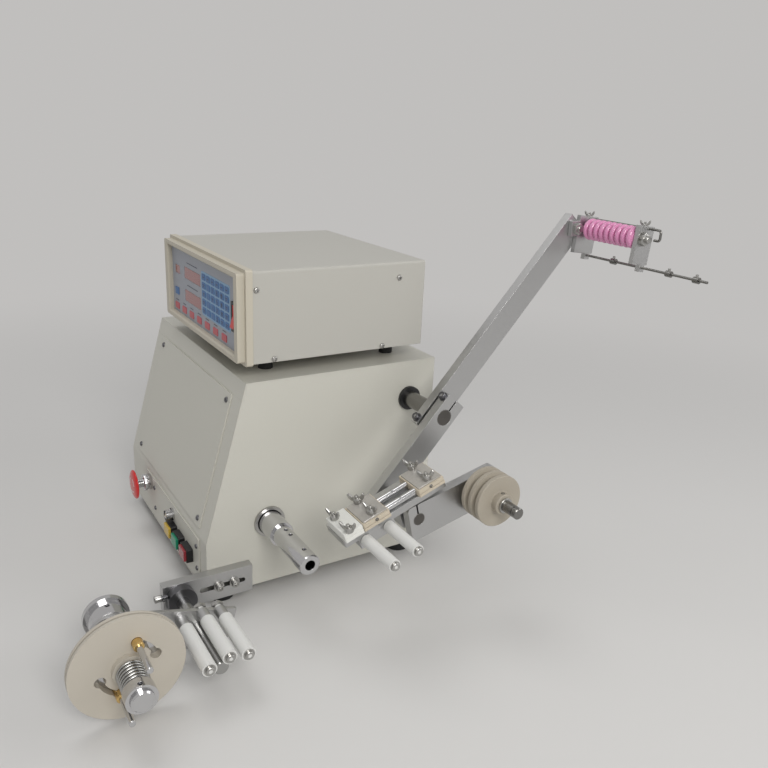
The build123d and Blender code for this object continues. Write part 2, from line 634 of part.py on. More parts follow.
CARRIAGE_X = (-300.0, -280.0)
with BuildPart() as traverse_shaft:
    rod(CARRIAGE_X[0], TRAVERSE_END_X, TRAVERSE_R, TRAVERSE_Y, TRAVERSE_Z)
    block(CARRIAGE_X, (TRAVERSE_Y - 18, TRAVERSE_Y + 18), (SCREW_Z - 16, TRAVERSE_Z + 16))
    rod(*CARRIAGE_X, SCREW_R + RUNNING, TRAVERSE_Y, SCREW_Z, Mode.SUBTRACT)
save(traverse_shaft, "traverse_shaft")

STEPPER_X = (LEFT_X + SHEET, LEFT_X + SHEET + 52.0)
STEPPER_HALF = 28.5
with BuildPart() as lead_screw:
    rod(STEPPER_X[1] - 20, -195, SCREW_R, TRAVERSE_Y, SCREW_Z)
save(lead_screw, "lead_screw")

with BuildPart() as traverse_motor:
    with BuildSketch(side_plane(STEPPER_X[0], TRAVERSE_Y, SCREW_Z)):
        RectangleRounded(2 * STEPPER_HALF, 2 * STEPPER_HALF, 5)
    extrude(amount=STEPPER_X[1] - STEPPER_X[0])
    rod(STEPPER_X[1] - 22, STEPPER_X[1], SCREW_R + RUNNING, TRAVERSE_Y, SCREW_Z, Mode.SUBTRACT)
save(traverse_motor, "traverse_motor")

with BuildPart() as electronics:
    block((-415, -290), (-40, 60), (BASE_Z + SHEET, BASE_Z + SHEET + 45))
    block((-415, -290), (90, 170), (BASE_Z + SHEET, BASE_Z + SHEET + 10))
    block((-350, -150), (PANEL_FACE_Y + 20, PANEL_FACE_Y + 22), (CASE_Z + 8, CASE_Z + 90))
    with Locations((-380, 110, BASE_Z + SHEET + 20), (-330, 150, BASE_Z + SHEET + 20)):
        Cylinder(9, 20)
    block((-340, -190), (60, 160), (CASE_Z + CASE_SHEET, CASE_Z + 30))
save(electronics, "electronics")

# ==== wire guide: the two bars ============================================================
def bar_plane(x, along=0.0):
    """Plane of a guide bar's face, its own x axis up along the bar."""
    axis = Vector(x, TRAVERSE_Y, TRAVERSE_Z) + direction(BAR_ANGLE) * along
    return side_plane(axis.X, axis.Y, axis.Z, BAR_ANGLE)


def clamp_screw(x, along):
    """Socket screw across the split end of a bar, its head on the bar's upper edge."""
    head = Plane(
        origin=bar_plane(x, along).from_local_coords(Vector(0, BAR_WIDTH / 2, 0)),
        z_dir=direction(BAR_ANGLE + 90),
    )
    with BuildSketch(head) as screw:
        Circle(4.25)
    extrude(screw.sketch, amount=4.5)


def split_bar(x, reach, slit, screw_along):
    """Flat bar with a bore on the traverse shaft, slit from the bore to its near end."""
    with BuildSketch(bar_plane(x)) as face:
        with Locations(((reach[0] + reach[1]) / 2, 0)):
            Rectangle(reach[1] - reach[0], BAR_WIDTH)
        Circle(TRAVERSE_R + RUNNING, mode=Mode.SUBTRACT)
        with Locations((slit / 2, 0)):
            Rectangle(abs(slit), 2, mode=Mode.SUBTRACT)
    extrude(face.sketch, amount=BAR_THICK)
    clamp_screw(x + BAR_THICK / 2, screw_along)


head_point = bar_plane(0, HEAD_DISTANCE).origin
HEAD_BOLT_R = 4.0
with BuildPart() as upper_arm:
    split_bar(UPPER_X, UPPER_REACH, 1.2 * UPPER_REACH[0], -18)
    rod(UPPER_X, UPPER_X + BAR_THICK, HEAD_BOLT_R + RUNNING, head_point.Y, head_point.Z, Mode.SUBTRACT)
save(upper_arm, "upper_arm")

pivot_point = bar_plane(0, -PIVOT_DROP).origin
with BuildPart() as lower_bar:
    split_bar(LOWER_X, LOWER_REACH, 1.2 * LOWER_REACH[1], 19)
    rod(LOWER_X, LOWER_X + BAR_THICK, PIVOT_R, pivot_point.Y, pivot_point.Z, Mode.SUBTRACT)
save(lower_bar, "lower_bar")

with BuildPart() as pivot_shaft:
    rod(LOWER_X, PIVOT_END_X, PIVOT_R, pivot_point.Y, pivot_point.Z)
save(pivot_shaft, "pivot_shaft")

# ==== wire guide: head with the wire wheels ===============================================
HEAD_LEFT_X = UPPER_X + BAR_THICK + GAP
AXLE_Y = 394.5
AXLE_Z = 341.0
AXLE_R = 4.0
WIRE_R = 1.5
KEEPER_Y = 405.0
KEEPER_Z = 352.0
LINE_Y = 400.5
LINE_Z = 307.5
LUG = (-4.0, 4.0, -5.0, 6.0)                 # lug under a plate, round the line rod


def head_block(x, size, tilt=HEAD_TILT, middle=HEAD_MIDDLE):
    """Tilted block: its width range along X, its face given from the middle."""
    with BuildSketch(side_plane(x[0], middle[0], middle[1], tilt)) as face:
        with Locations(((size[0] + size[1]) / 2, (size[2] + size[3]) / 2)):
            Rectangle(size[1] - size[0], size[3] - size[2])
    extrude(face.sketch, amount=x[1] - x[0])


with BuildPart() as head_plates:
    for plate_x, size in ((HEAD_LEFT_X, HEAD_LEFT_SIZE), (HEAD_RIGHT_X, HEAD_RIGHT_SIZE)):
        head_block((plate_x, plate_x + PLATE_THICK), size)
        head_block((plate_x, plate_x + PLATE_THICK), LUG, HEAD_TILT, (LINE_Y, LINE_Z))
    # ear of the left plate that the bolt through the bar's tip carries
    block(
        (HEAD_LEFT_X, HEAD_LEFT_X + PLATE_THICK),
        (head_point.Y - 9, HEAD_MIDDLE[0] - 10),
        (head_point.Z - 9, head_point.Z + 9),
    )
    rod(UPPER_X - 6, HEAD_LEFT_X, HEAD_BOLT_R, head_point.Y, head_point.Z)
    rod(UPPER_X - 6, UPPER_X - GAP, 6.5, head_point.Y, head_point.Z)
    rod(HEAD_LEFT_X + PLATE_THICK, HEAD_LEFT_X + PLATE_THICK + 4, 6.5, head_point.Y, head_point.Z)
    for y, z, radius in (
        (AXLE_Y, AXLE_Z, AXLE_R),
        (KEEPER_Y, KEEPER_Z, WIRE_R),
        (LINE_Y, LINE_Z, WIRE_R),
    ):
        rod(HEAD_LEFT_X, HEAD_RIGHT_X + PLATE_THICK, radius, y, z, Mode.SUBTRACT)
save(head_plates, "head_plates")

KEEPER_END_X = 61.0
KEEPER_DROP = 12.0
LINE_COLLARS = (2.0, 84.0, 121.0)
with BuildPart() as head_rods:
    rod(HEAD_LEFT_X, HEAD_RIGHT_X + PLATE_THICK + 10, AXLE_R, AXLE_Y, AXLE_Z)
    rod(HEAD_RIGHT_X + PLATE_THICK, HEAD_RIGHT_X + PLATE_THICK + 5, 7, AXLE_Y, AXLE_Z)
    # keeper wire: along the plates, down and back to the plate's outer face
    keeper_y = KEEPER_Y
    with BuildLine() as keeper_line:
        FilletPolyline(
            (HEAD_LEFT_X, keeper_y, KEEPER_Z),
            (KEEPER_END_X, keeper_y, KEEPER_Z),
            (KEEPER_END_X, keeper_y, KEEPER_Z - KEEPER_DROP),
            (KEEPER_END_X - 8, keeper_y, KEEPER_Z - KEEPER_DROP),
            radius=3,
        )
    with BuildSketch(side_plane(HEAD_LEFT_X, keeper_y, KEEPER_Z)):
        Circle(WIRE_R)
    sweep(path=keeper_line.line)
    rod(HEAD_LEFT_X, 135, WIRE_R, LINE_Y, LINE_Z)
    for collar_x in LINE_COLLARS:
        rod(collar_x - 3.5, collar_x + 3.5, 3.6, LINE_Y, LINE_Z)
save(head_rods, "head_rods")

WHEEL_COUNT = 9
WHEEL_R = 13.0
WHEEL_GAP = 0.15           # between the bosses of neighbouring wheels
WHEEL_PITCH = (HEAD_RIGHT_X - HEAD_LEFT_X - PLATE_THICK - 5.0) / WHEEL_COUNT
with BuildPart() as tension_wheels:
    first_x = HEAD_LEFT_X + PLATE_THICK + 4.3
    for index in range(WHEEL_COUNT):
        wheel_x = first_x + index * WHEEL_PITCH
        with BuildSketch(Plane.XY):
            with BuildLine():
                Polyline(
                    (wheel_x, AXLE_R + RUNNING),
                    (wheel_x, WHEEL_R - 3),
                    (wheel_x + 1.4, WHEEL_R),
                    (wheel_x + WHEEL_PITCH - 2.2, WHEEL_R),
                    (wheel_x + WHEEL_PITCH - 0.8, WHEEL_R - 3),
                    (wheel_x + WHEEL_PITCH - 0.8, 8),
                    (wheel_x + WHEEL_PITCH - WHEEL_GAP, 8),
                    (wheel_x + WHEEL_PITCH - WHEEL_GAP, AXLE_R + RUNNING),
                    close=True,
                )
            make_face()
        revolve(axis=Axis.X)
tension_wheels.part.locate(Location((0, AXLE_Y, AXLE_Z)))
save(tension_wheels, "tension_wheels")

# ==== wire guide: tray with the felt clamps ===============================================
def guide_plane(x=0.0, along=0.0, up=0.0):
    """Plane square to X through a point of the tray's own frame."""
    spot = (
        Vector(x, pivot_point.Y, pivot_point.Z)
        + direction(GUIDE_ANGLE) * along
        + direction(GUIDE_ANGLE + 90) * up
    )
    return side_plane(spot.X, spot.Y, spot.Z, GUIDE_ANGLE)


def guide_block(x, along, up, mode=Mode.ADD):
    """Box in the tray's frame: pairs along X, along the tray and up from the pivot."""
    with BuildSketch(guide_plane(x[0])) as face:
        with Locations(((along[0] + along[1]) / 2, (up[0] + up[1]) / 2)):
            Rectangle(along[1] - along[0], up[1] - up[0])
    extrude(face.sketch, amount=x[1] - x[0], mode=mode)


def guide_rod(x0, x1, radius, along, up, mode=Mode.ADD):
    """Round bar along X at a point of the tray's frame."""
    with BuildSketch(guide_plane(x0, along, up)) as section:
        Circle(radius)
    extrude(section.sketch, amount=x1 - x0, mode=mode)


TRAY_X = (-6.0, 36.0)
TRAY_ALONG = (-90.0, 42.0)
TRAY_UP = (21.5, 29.5)
ROLLER_STUD_R = 4.0
GUIDE_ROLLERS = {"guide_roller_1": (-66.3, 17.0), "guide_roller_2": (-37.5, 17.0)}
GUIDE_ROLLER_R = 6.6
WING_SCREWS = ((7, -82), (38, -81), (3, -50), (31, -49), (1, 24), (31, 24))
FELT_BLOCKS = ((-2.0, 40.0, -89.0, -66.5), (-2.0, 40.0, -66.0, -32.0), (-2.0, 40.0, 6.0, 40.0))
FELT_TOP = 39.5
with BuildPart() as guide_tray:
    guide_block(TRAY_X, TRAY_ALONG, TRAY_UP)
    fillet(guide_tray.edges().filter_by(Axis((0, 0, 0), direction(GUIDE_ANGLE + 90))), 2)
save(guide_tray, "guide_tray")

HINGE_BLOCK_X = (-6.0, 18.0)
HINGE_BLOCK_ALONG = (-14.0, 14.0)
HINGE_BLOCK_UNDER = -13.0
ROLLER_BLOCK_X = (16.0, 36.0)
ROLLER_BLOCK_ALONG = (-74.0, -29.0)
ROLLER_BLOCK_UNDER = 9.0
with BuildPart() as tray_blocks:
    guide_block(HINGE_BLOCK_X, HINGE_BLOCK_ALONG, (HINGE_BLOCK_UNDER, TRAY_UP[0]))
    guide_rod(*HINGE_BLOCK_X, PIVOT_R + RUNNING, 0, 0, Mode.SUBTRACT)
    guide_block(ROLLER_BLOCK_X, ROLLER_BLOCK_ALONG, (ROLLER_BLOCK_UNDER, TRAY_UP[0]))
    for along, up in GUIDE_ROLLERS.values():
        guide_rod(*ROLLER_BLOCK_X, ROLLER_STUD_R + RUNNING, along, up, Mode.SUBTRACT)
save(tray_blocks, "tray_blocks")

with BuildPart() as guide_blocks:
    for x0, x1, along0, along1 in FELT_BLOCKS:
        guide_block((x0, x1), (along0, along1), (TRAY_UP[1], FELT_TOP))
    for rod_x in (12.5, 30.0):
        tray_top = guide_plane(rod_x, -40, TRAY_UP[1] + 4)
        with BuildSketch(Plane(origin=tray_top.origin, z_dir=direction(GUIDE_ANGLE))):
            Circle(4)
        extrude(amount=54, mode=Mode.SUBTRACT)
    for x, along in WING_SCREWS:
        spot = guide_plane(x, along, TRAY_UP[1])
        with BuildSketch(Plane(origin=spot.origin, z_dir=direction(GUIDE_ANGLE + 90))):
            Circle(2.5)
        extrude(amount=12, mode=Mode.SUBTRACT)
save(guide_blocks, "guide_blocks")

with BuildPart() as guide_rods:
    for rod_x in (12.5, 30.0):
        tray_top = guide_plane(rod_x, -40, TRAY_UP[1] + 4)
        with BuildSketch(Plane(origin=tray_top.origin, z_dir=direction(GUIDE_ANGLE))):
            Circle(4)
        extrude(amount=54)
save(guide_rods, "guide_rods")

with BuildPart() as wing_screws:
    for x, along in WING_SCREWS:
        spot = guide_plane(x, along, TRAY_UP[1])
        up_plane = Plane(origin=spot.origin, x_dir=(1, 0, 0), z_dir=direction(GUIDE_ANGLE + 90))
        with BuildSketch(up_plane):
            Circle(2.5)
        extrude(amount=FELT_TOP - TRAY_UP[1] + 10)
        with BuildSketch(up_plane.offset(FELT_TOP - TRAY_UP[1])):
            Circle(4.5)
        extrude(amount=6)
        wing_plane = Plane(
            origin=up_plane.from_local_coords(Vector(0, -1.2, FELT_TOP - TRAY_UP[1])),
            x_dir=(1, 0, 0),
            z_dir=direction(GUIDE_ANGLE),
        )
        with BuildSketch(wing_plane):
            with Locations((7.5, -9), (-7.5, -9)):
                Ellipse(4, 7)
            with Locations((0, -4)):
                Rectangle(16, 5)
        extrude(amount=2.4)
save(wing_screws, "wing_screws")

for roller_name, (along, up) in GUIDE_ROLLERS.items():
    with BuildPart() as guide_roller:
        guide_rod(18, 36.5, ROLLER_STUD_R, along, up)
        guide_rod(36.5, 93, GUIDE_ROLLER_R, along, up)
        guide_rod(93, 95.5, 4.2, along, up)
    save(guide_roller, roller_name)

# ==== wire guide: plate with the two-groove wheel =========================================
ARM_X = (22.0, 34.0)
ARM_ANGLE = 13.7           # the plate rises less than the tray
ARM_ALONG = (-12.0, 110.0)
ARM_UP = (-24.7, 18.5)
WHEEL_ALONG = 82.9
WHEEL_UP = 0.7
WHEEL_SHAFT_R = 6.5


def arm_plane(x, along=0.0, up=0.0):
    """Plane square to X through a point of the wheel plate's own frame."""
    spot = (
        Vector(x, pivot_point.Y, pivot_point.Z)
        + direction(ARM_ANGLE) * along
        + direction(ARM_ANGLE + 90) * up
    )
    return side_plane(spot.X, spot.Y, spot.Z, ARM_ANGLE)


with BuildPart() as wheel_arm:
    with BuildSketch(arm_plane(ARM_X[0])) as arm_side:
        with Locations((sum(ARM_ALONG) / 2, sum(ARM_UP) / 2)):
            Rectangle(ARM_ALONG[1] - ARM_ALONG[0], ARM_UP[1] - ARM_UP[0])
        fillet(arm_side.vertices(), 5)
        Circle(PIVOT_R + RUNNING, mode=Mode.SUBTRACT)
        with Locations((0, ARM_UP[1] - 5)):
            Rectangle(2, 16, mode=Mode.SUBTRACT)
        with Locations((WHEEL_ALONG, WHEEL_UP)):
            Circle(WHEEL_SHAFT_R + RUNNING, mode=Mode.SUBTRACT)
    extrude(amount=ARM_X[1] - ARM_X[0])
save(wheel_arm, "wheel_arm")

wheel_axis = arm_plane(0, WHEEL_ALONG, WHEEL_UP).origin
with BuildPart() as grooved_wheel:
    with BuildSketch(Plane.XY):
        with BuildLine():
            Polyline(
                (19, 0), (19, 8), (21, 8), (21, 6.5), (37, 6.5), (37, 12), (41, 12),
                (41, 30), (46, 30), (47.5, 24), (52, 24), (53.5, 30), (58, 30),
                (59.5, 24), (64, 24), (65.5, 30), (71, 30), (71, 12), (80, 12),
                (80, 6.5), (104, 6.5), (104, 0), close=True,
            )
        make_face()
    revolve(axis=Axis.X)
    with BuildSketch(Plane.XY):
        with Locations((75.5, 0)):
            Circle(2.2)
    extrude(amount=14, mode=Mode.SUBTRACT)
grooved_wheel.part.locate(Location((0, wheel_axis.Y, wheel_axis.Z)))
save(grooved_wheel, "grooved_wheel")

# ==== wire brake ==========================================================================
SLOT_Y = (-91.0, -36.0)
SLOT_Z = -62.3
BAR_OUT_X = BRAKE_BAR_X + BAR_THICK
with BuildPart() as brake_bar:
    block((BRAKE_BAR_X, BAR_OUT_X), BRAKE_BAR_Y, BRAKE_BAR_Z)
    with BuildSketch(side_plane(BRAKE_BAR_X, sum(SLOT_Y) / 2, SLOT_Z)):
        SlotOverall(SLOT_Y[1] - SLOT_Y[0], 6)
    extrude(amount=BAR_THICK, mode=Mode.SUBTRACT)
    rod(BRAKE_BAR_X, BAR_OUT_X, BRAKE_SHAFT_R, BRAKE_SHAFT_Y, BRAKE_SHAFT_Z, Mode.SUBTRACT)
    block(
        (BRAKE_BAR_X, BAR_OUT_X),
        (BRAKE_BAR_Y[0], BRAKE_SHAFT_Y),
        (BRAKE_SHAFT_Z - 1, BRAKE_SHAFT_Z + 1),
        Mode.SUBTRACT,
    )
save(brake_bar, "brake_bar")

with BuildPart() as brake_shaft:
    rod(BRAKE_BAR_X, 38, BRAKE_SHAFT_R, BRAKE_SHAFT_Y, BRAKE_SHAFT_Z)
    chamfer(brake_shaft.edges().filter_by(GeomType.CIRCLE).group_by(Axis.X)[-1], 1)
save(brake_shaft, "brake_shaft")

CLAMP_X = (BAR_OUT_X, BAR_OUT_X + 12.0)
CLAMP_R = 17.0
CLAMP_FLAT = 15.5          # the flat that the clamp's bolt goes into, from the shaft's axis
CLAMP_BOLT_Z = BRAKE_SHAFT_Z + 9.5
with BuildPart() as brake_clamp:
    rod(*CLAMP_X, CLAMP_R, BRAKE_SHAFT_Y, BRAKE_SHAFT_Z)
    split(bisect_by=Plane(origin=(0, BRAKE_SHAFT_Y - CLAMP_FLAT, 0), z_dir=(0, 1, 0)))
    rod(*CLAMP_X, BRAKE_SHAFT_R, BRAKE_SHAFT_Y, BRAKE_SHAFT_Z, Mode.SUBTRACT)
    bolt_plane = Plane(
        origin=(sum(CLAMP_X) / 2, BRAKE_SHAFT_Y - CLAMP_FLAT, CLAMP_BOLT_Z),
        z_dir=(0, -1, 0),
    )
    with BuildSketch(bolt_plane):
        Circle(2.2)
    extrude(amount=7)
    with BuildSketch(bolt_plane.offset(6)):
        Circle(3.8)
    extrude(amount=7)
save(brake_clamp, "brake_clamp")

PLATE_HALF = 23.0
PLATE_MID = -2.0
PLATE_FRONT = -89.7
PLATE_REAR = 39.5
ROLLER_X = -19.0
ROLLER_AXLE_R = 4.0
FEED_ROLLER_R = 7.6
with BuildPart() as brake_plate:
    plate_plane = side_plane(BRAKE_PLATE_X[0], BRAKE_SHAFT_Y, BRAKE_SHAFT_Z, BRAKE_ANGLE)
    with BuildSketch(plate_plane) as plate_face:
        with Locations(((PLATE_FRONT + PLATE_REAR) / 2, PLATE_MID)):
            Rectangle(PLATE_REAR - PLATE_FRONT, 2 * PLATE_HALF)
        rear_low = plate_face.vertices().group_by(Axis.X)[-1].sort_by(Axis.Y)[0]
        fillet(rear_low, 20)
        with Locations((PLATE_FRONT, PLATE_MID)):
            Circle(PLATE_HALF)
    extrude(amount=BRAKE_PLATE_X[1] - BRAKE_PLATE_X[0])
    rod(-52, BRAKE_PLATE_X[0], 13, BRAKE_SHAFT_Y, BRAKE_SHAFT_Z)
    for y, z, tip in BRAKE_ROLLERS:
        rod(BRAKE_PLATE_X[1], ROLLER_X - GAP, 6.5, y, z)
        rod(BRAKE_PLATE_X[0], ROLLER_X - GAP, ROLLER_AXLE_R + RUNNING, y, z, Mode.SUBTRACT)
    rod(BRAKE_PLATE_X[0], BRAKE_PLATE_X[1], 15, DISC_Y, DISC_Z, Mode.SUBTRACT)
    rod(-52, ROLLER_X, BRAKE_SHAFT_R + RUNNING, BRAKE_SHAFT_Y, BRAKE_SHAFT_Z, Mode.SUBTRACT)
save(brake_plate, "brake_plate")

for number, (y, z, tip) in enumerate(BRAKE_ROLLERS, start=1):
    with BuildPart() as brake_roller:
        rod(BRAKE_PLATE_X[0] - 1, ROLLER_X, ROLLER_AXLE_R, y, z)
        rod(ROLLER_X, tip - 3, FEED_ROLLER_R, y, z)
        rod(tip - 3, tip, 4.2, y, z)
    save(brake_roller, f"brake_roller_{number}")

with BuildPart() as brake_hub:
    rod(-68, -62, 23.5, DISC_Y, DISC_Z)
    rod(-62, BRAKE_PLATE_X[0], 20, DISC_Y, DISC_Z)
    rod(BRAKE_PLATE_X[0], 11.7, 15, DISC_Y, DISC_Z)
    rod(-68, 11.7, DISC_SHAFT_R + RUNNING, DISC_Y, DISC_Z, Mode.SUBTRACT)
    with BuildSketch(Plane.XY.offset(DISC_Z)):
        with Locations((-54, DISC_Y)):
            Circle(2.5)
    extrude(amount=21, mode=Mode.SUBTRACT)
save(brake_hub, "brake_hub")

SLOT_R = 27.0
PIN_ANGLE = 70.0
SLOT_SWEEP = 55.0
SLOT_WIDTH = 5.5
SLOT_EYE_R = 5.5           # round hole at each end of a slot
PIN_R = 3.0
PIN_END = 70.0
SEAT_R = 16.0
with BuildPart() as brake_disc:
    middle_x = sum(DISC_X) / 2
    rod(DISC_X[0], middle_x - 1, DISC_R, DISC_Y, DISC_Z)
    rod(middle_x - 1, middle_x + 1, DISC_R - 8, DISC_Y, DISC_Z)
    rod(middle_x + 1, DISC_X[1], DISC_R, DISC_Y, DISC_Z)
    rod(DISC_X[1], SPRING_X[0], SEAT_R, DISC_Y, DISC_Z)
    rod(DISC_X[0], SPRING_X[0], DISC_SHAFT_R, DISC_Y, DISC_Z, Mode.SUBTRACT)
    for turn in (0, 180):
        with BuildSketch(side_plane(DISC_X[0], DISC_Y, DISC_Z, turn)):
            Circle(SLOT_R + SLOT_WIDTH / 2)
            Circle(SLOT_R - SLOT_WIDTH / 2, mode=Mode.SUBTRACT)
            with BuildLine():
                rays = [direction(PIN_ANGLE - SLOT_SWEEP * step) * DISC_R for step in (1, 0.5, 0)]
                Polyline((0, 0), *[(ray.Y, ray.Z) for ray in rays], close=True)
            make_face(mode=Mode.INTERSECT)
            for eye_angle in (PIN_ANGLE - SLOT_SWEEP, PIN_ANGLE):
                eye = direction(eye_angle) * SLOT_R
                with Locations((eye.Y, eye.Z)):
                    Circle(SLOT_EYE_R)
        extrude(amount=DISC_X[1] - DISC_X[0], mode=Mode.SUBTRACT)
save(brake_disc, "brake_disc")

with BuildPart() as disc_shaft:
    rod(-70, DISC_SHAFT_END, DISC_SHAFT_R, DISC_Y, DISC_Z)
    rod(12, DISC_X[0], 34, DISC_Y, DISC_Z)
    chamfer(disc_shaft.edges().filter_by(GeomType.CIRCLE).group_by(Axis.X)[-1], 1.5)
    for turn in (0, 180):
        pin = Vector(0, DISC_Y, DISC_Z) + direction(PIN_ANGLE + turn) * SLOT_R
        rod(DISC_X[0], PIN_END, PIN_R, pin.Y, pin.Z)
save(disc_shaft, "disc_shaft")


def coil_point(turn):
    """Point and unit tangent of the spring's centre line after so many turns."""
    rise = spring_pitch / (2 * pi * SPRING_MEAN_R)
    angle = 2 * pi * turn
    point = Vector(
        spring_low + spring_pitch * turn,
        DISC_Y + SPRING_MEAN_R * cos(angle),
        DISC_Z + SPRING_MEAN_R * sin(angle),
    )
    return point, Vector(rise, -sin(angle), cos(angle)).normalized()


def biarc(start, end):
    """Two arcs that join the points and keep both tangents, drawn in the line at hand."""
    (p0, t0), (p1, t1) = start, end
    chord = p1 - p0
    spread = 2 * (1 - t0.dot(t1))
    along = chord.dot(t0 + t1)
    reach = (sqrt(along**2 + spread * chord.dot(chord)) - along) / spread
    q0 = p0 + t0 * reach
    q1 = p1 - t1 * reach
    middle = (q0 + q1) * 0.5
    TangentArc(p0, middle, tangent=t0)
    TangentArc(middle, p1, tangent=q1 - q0)


def least_coil_gap(line):
    """Smallest distance between points of the line over half a turn apart, less the wire."""
    count = SPRING_TURNS * 40
    points = [line @ (index / count) for index in range(count + 1)]
    pairs = ((a, b) for a in range(count + 1) for b in range(a + 20, count + 1))
    return min((points[a] - points[b]).length for a, b in pairs) - 2 * SPRING_WIRE_R


spring_low = SPRING_X[0] + GAP + SPRING_WIRE_R
spring_high = SPRING_X[1] - GAP - SPRING_WIRE_R
spring_pitch = (spring_high - spring_low) / SPRING_TURNS
with BuildPart() as brake_spring:
    with BuildLine() as coil:
        for quarter in range(4 * SPRING_TURNS):
            biarc(coil_point(quarter / 4), coil_point((quarter + 1) / 4))
    with BuildSketch(Plane(origin=coil.line @ 0, z_dir=coil.line % 0)):
        Circle(SPRING_WIRE_R)
    sweep()
save(brake_spring, "brake_spring")
print("spring: least gap of the wire to itself", round(least_coil_gap(coil.line), 2), "mm")

BRAKE_COLLAR = 13.0
with BuildPart() as brake_collar:
    rod(SPRING_X[1], SPRING_X[1] + BRAKE_COLLAR, 15, DISC_Y, DISC_Z)
    rod(SPRING_X[1], SPRING_X[1] + BRAKE_COLLAR, DISC_SHAFT_R + RUNNING, DISC_Y, DISC_Z, Mode.SUBTRACT)
    with BuildSketch(Plane.XY.offset(DISC_Z)):
        with Locations((SPRING_X[1] + BRAKE_COLLAR * 0.7, DISC_Y)):
            Circle(2.5)
    extrude(amount=16, mode=Mode.SUBTRACT)
save(brake_collar, "brake_collar")
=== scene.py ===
"""Looks of the bench coil winding machine: materials, small pieces, light and camera.

Shapes are drawn in millimetres in the part's frame: the spindle runs along x and ends at the
origin, y points to the back and z up.
"""

import json
import math

import bpy
from mathutils import Matrix, Vector


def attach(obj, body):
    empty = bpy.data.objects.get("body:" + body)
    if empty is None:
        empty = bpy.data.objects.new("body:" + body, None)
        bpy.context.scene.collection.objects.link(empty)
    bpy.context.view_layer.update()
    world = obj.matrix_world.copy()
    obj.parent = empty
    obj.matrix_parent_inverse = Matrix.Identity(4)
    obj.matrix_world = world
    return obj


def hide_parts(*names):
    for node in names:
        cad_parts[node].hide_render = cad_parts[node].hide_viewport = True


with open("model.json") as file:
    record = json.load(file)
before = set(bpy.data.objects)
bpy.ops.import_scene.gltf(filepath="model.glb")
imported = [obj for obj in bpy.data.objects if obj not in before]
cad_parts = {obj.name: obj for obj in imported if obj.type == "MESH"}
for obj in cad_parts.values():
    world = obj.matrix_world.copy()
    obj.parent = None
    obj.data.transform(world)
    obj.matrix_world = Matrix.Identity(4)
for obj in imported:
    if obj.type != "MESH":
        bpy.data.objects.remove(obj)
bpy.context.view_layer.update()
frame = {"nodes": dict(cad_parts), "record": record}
NODES = frame["nodes"]
RECORD = frame["record"]
MM = 0.001
RIGHT, LEFT, FRONT, BACK, UP = (1, 0, 0), (-1, 0, 0), (0, -1, 0), (0, 1, 0), (0, 0, 1)

# ---- materials ---------------------------------------------------------------------------


def add_node(tree, kind, inputs=None):
    """New shader node with the given input values."""
    node = tree.nodes.new(kind)
    for socket, value in (inputs or {}).items():
        node.inputs[socket].default_value = value
    return node


def material(name, color, rough, grain, bump, metal=0.0, coat=0.0, spread=0.0,
             stretch=(1, 1, 1), edge=0.25, wear=0.0):
    """Surface with a fine grain: its size, bump and edge radius are in millimetres.

    spread is the share by which the colour varies, wear the amount by which the roughness does.
    """
    mat = bpy.data.materials.new(name)
    mat.use_nodes = True
    tree = mat.node_tree
    shader = tree.nodes["Principled BSDF"]
    shader.inputs["Base Color"].default_value = (*color, 1)
    shader.inputs["Roughness"].default_value = rough
    shader.inputs["Metallic"].default_value = metal
    shader.inputs["Coat Weight"].default_value = coat
    rounded_edge = add_node(tree, "ShaderNodeBevel", {"Radius": edge * MM})
    rounded_edge.samples = 4
    coords = add_node(tree, "ShaderNodeTexCoord")
    mapping = add_node(tree, "ShaderNodeMapping", {"Scale": stretch})
    noise = add_node(tree, "ShaderNodeTexNoise", {"Scale": 1 / (grain * MM), "Detail": 3})
    tree.links.new(coords.outputs["Object"], mapping.inputs["Vector"])
    tree.links.new(mapping.outputs["Vector"], noise.inputs["Vector"])
    relief = add_node(tree, "ShaderNodeBump", {"Distance": bump * MM, "Strength": 1})
    tree.links.new(noise.outputs["Fac"], relief.inputs["Height"])
    tree.links.new(rounded_edge.outputs["Normal"], relief.inputs["Normal"])
    if spread:
        tint = add_node(tree, "ShaderNodeValToRGB")
        darkest, lightest = tint.color_ramp.elements
        darkest.position, lightest.position = 0.3, 0.7
        darkest.color = (*[v * (1 - spread) for v in color], 1)
        lightest.color = (*[min(1, v * (1 + spread)) for v in color], 1)
        tree.links.new(noise.outputs["Fac"], tint.inputs["Fac"])
        tree.links.new(tint.outputs["Color"], shader.inputs["Base Color"])
    if wear:
        gloss = add_node(tree, "ShaderNodeMapRange",
                         {"To Min": max(0.02, rough - wear), "To Max": rough + wear})
        tree.links.new(noise.outputs["Fac"], gloss.inputs["Value"])
        tree.links.new(gloss.outputs["Result"], shader.inputs["Roughness"])
    tree.links.new(relief.outputs["Normal"], shader.inputs["Normal"])
    return mat


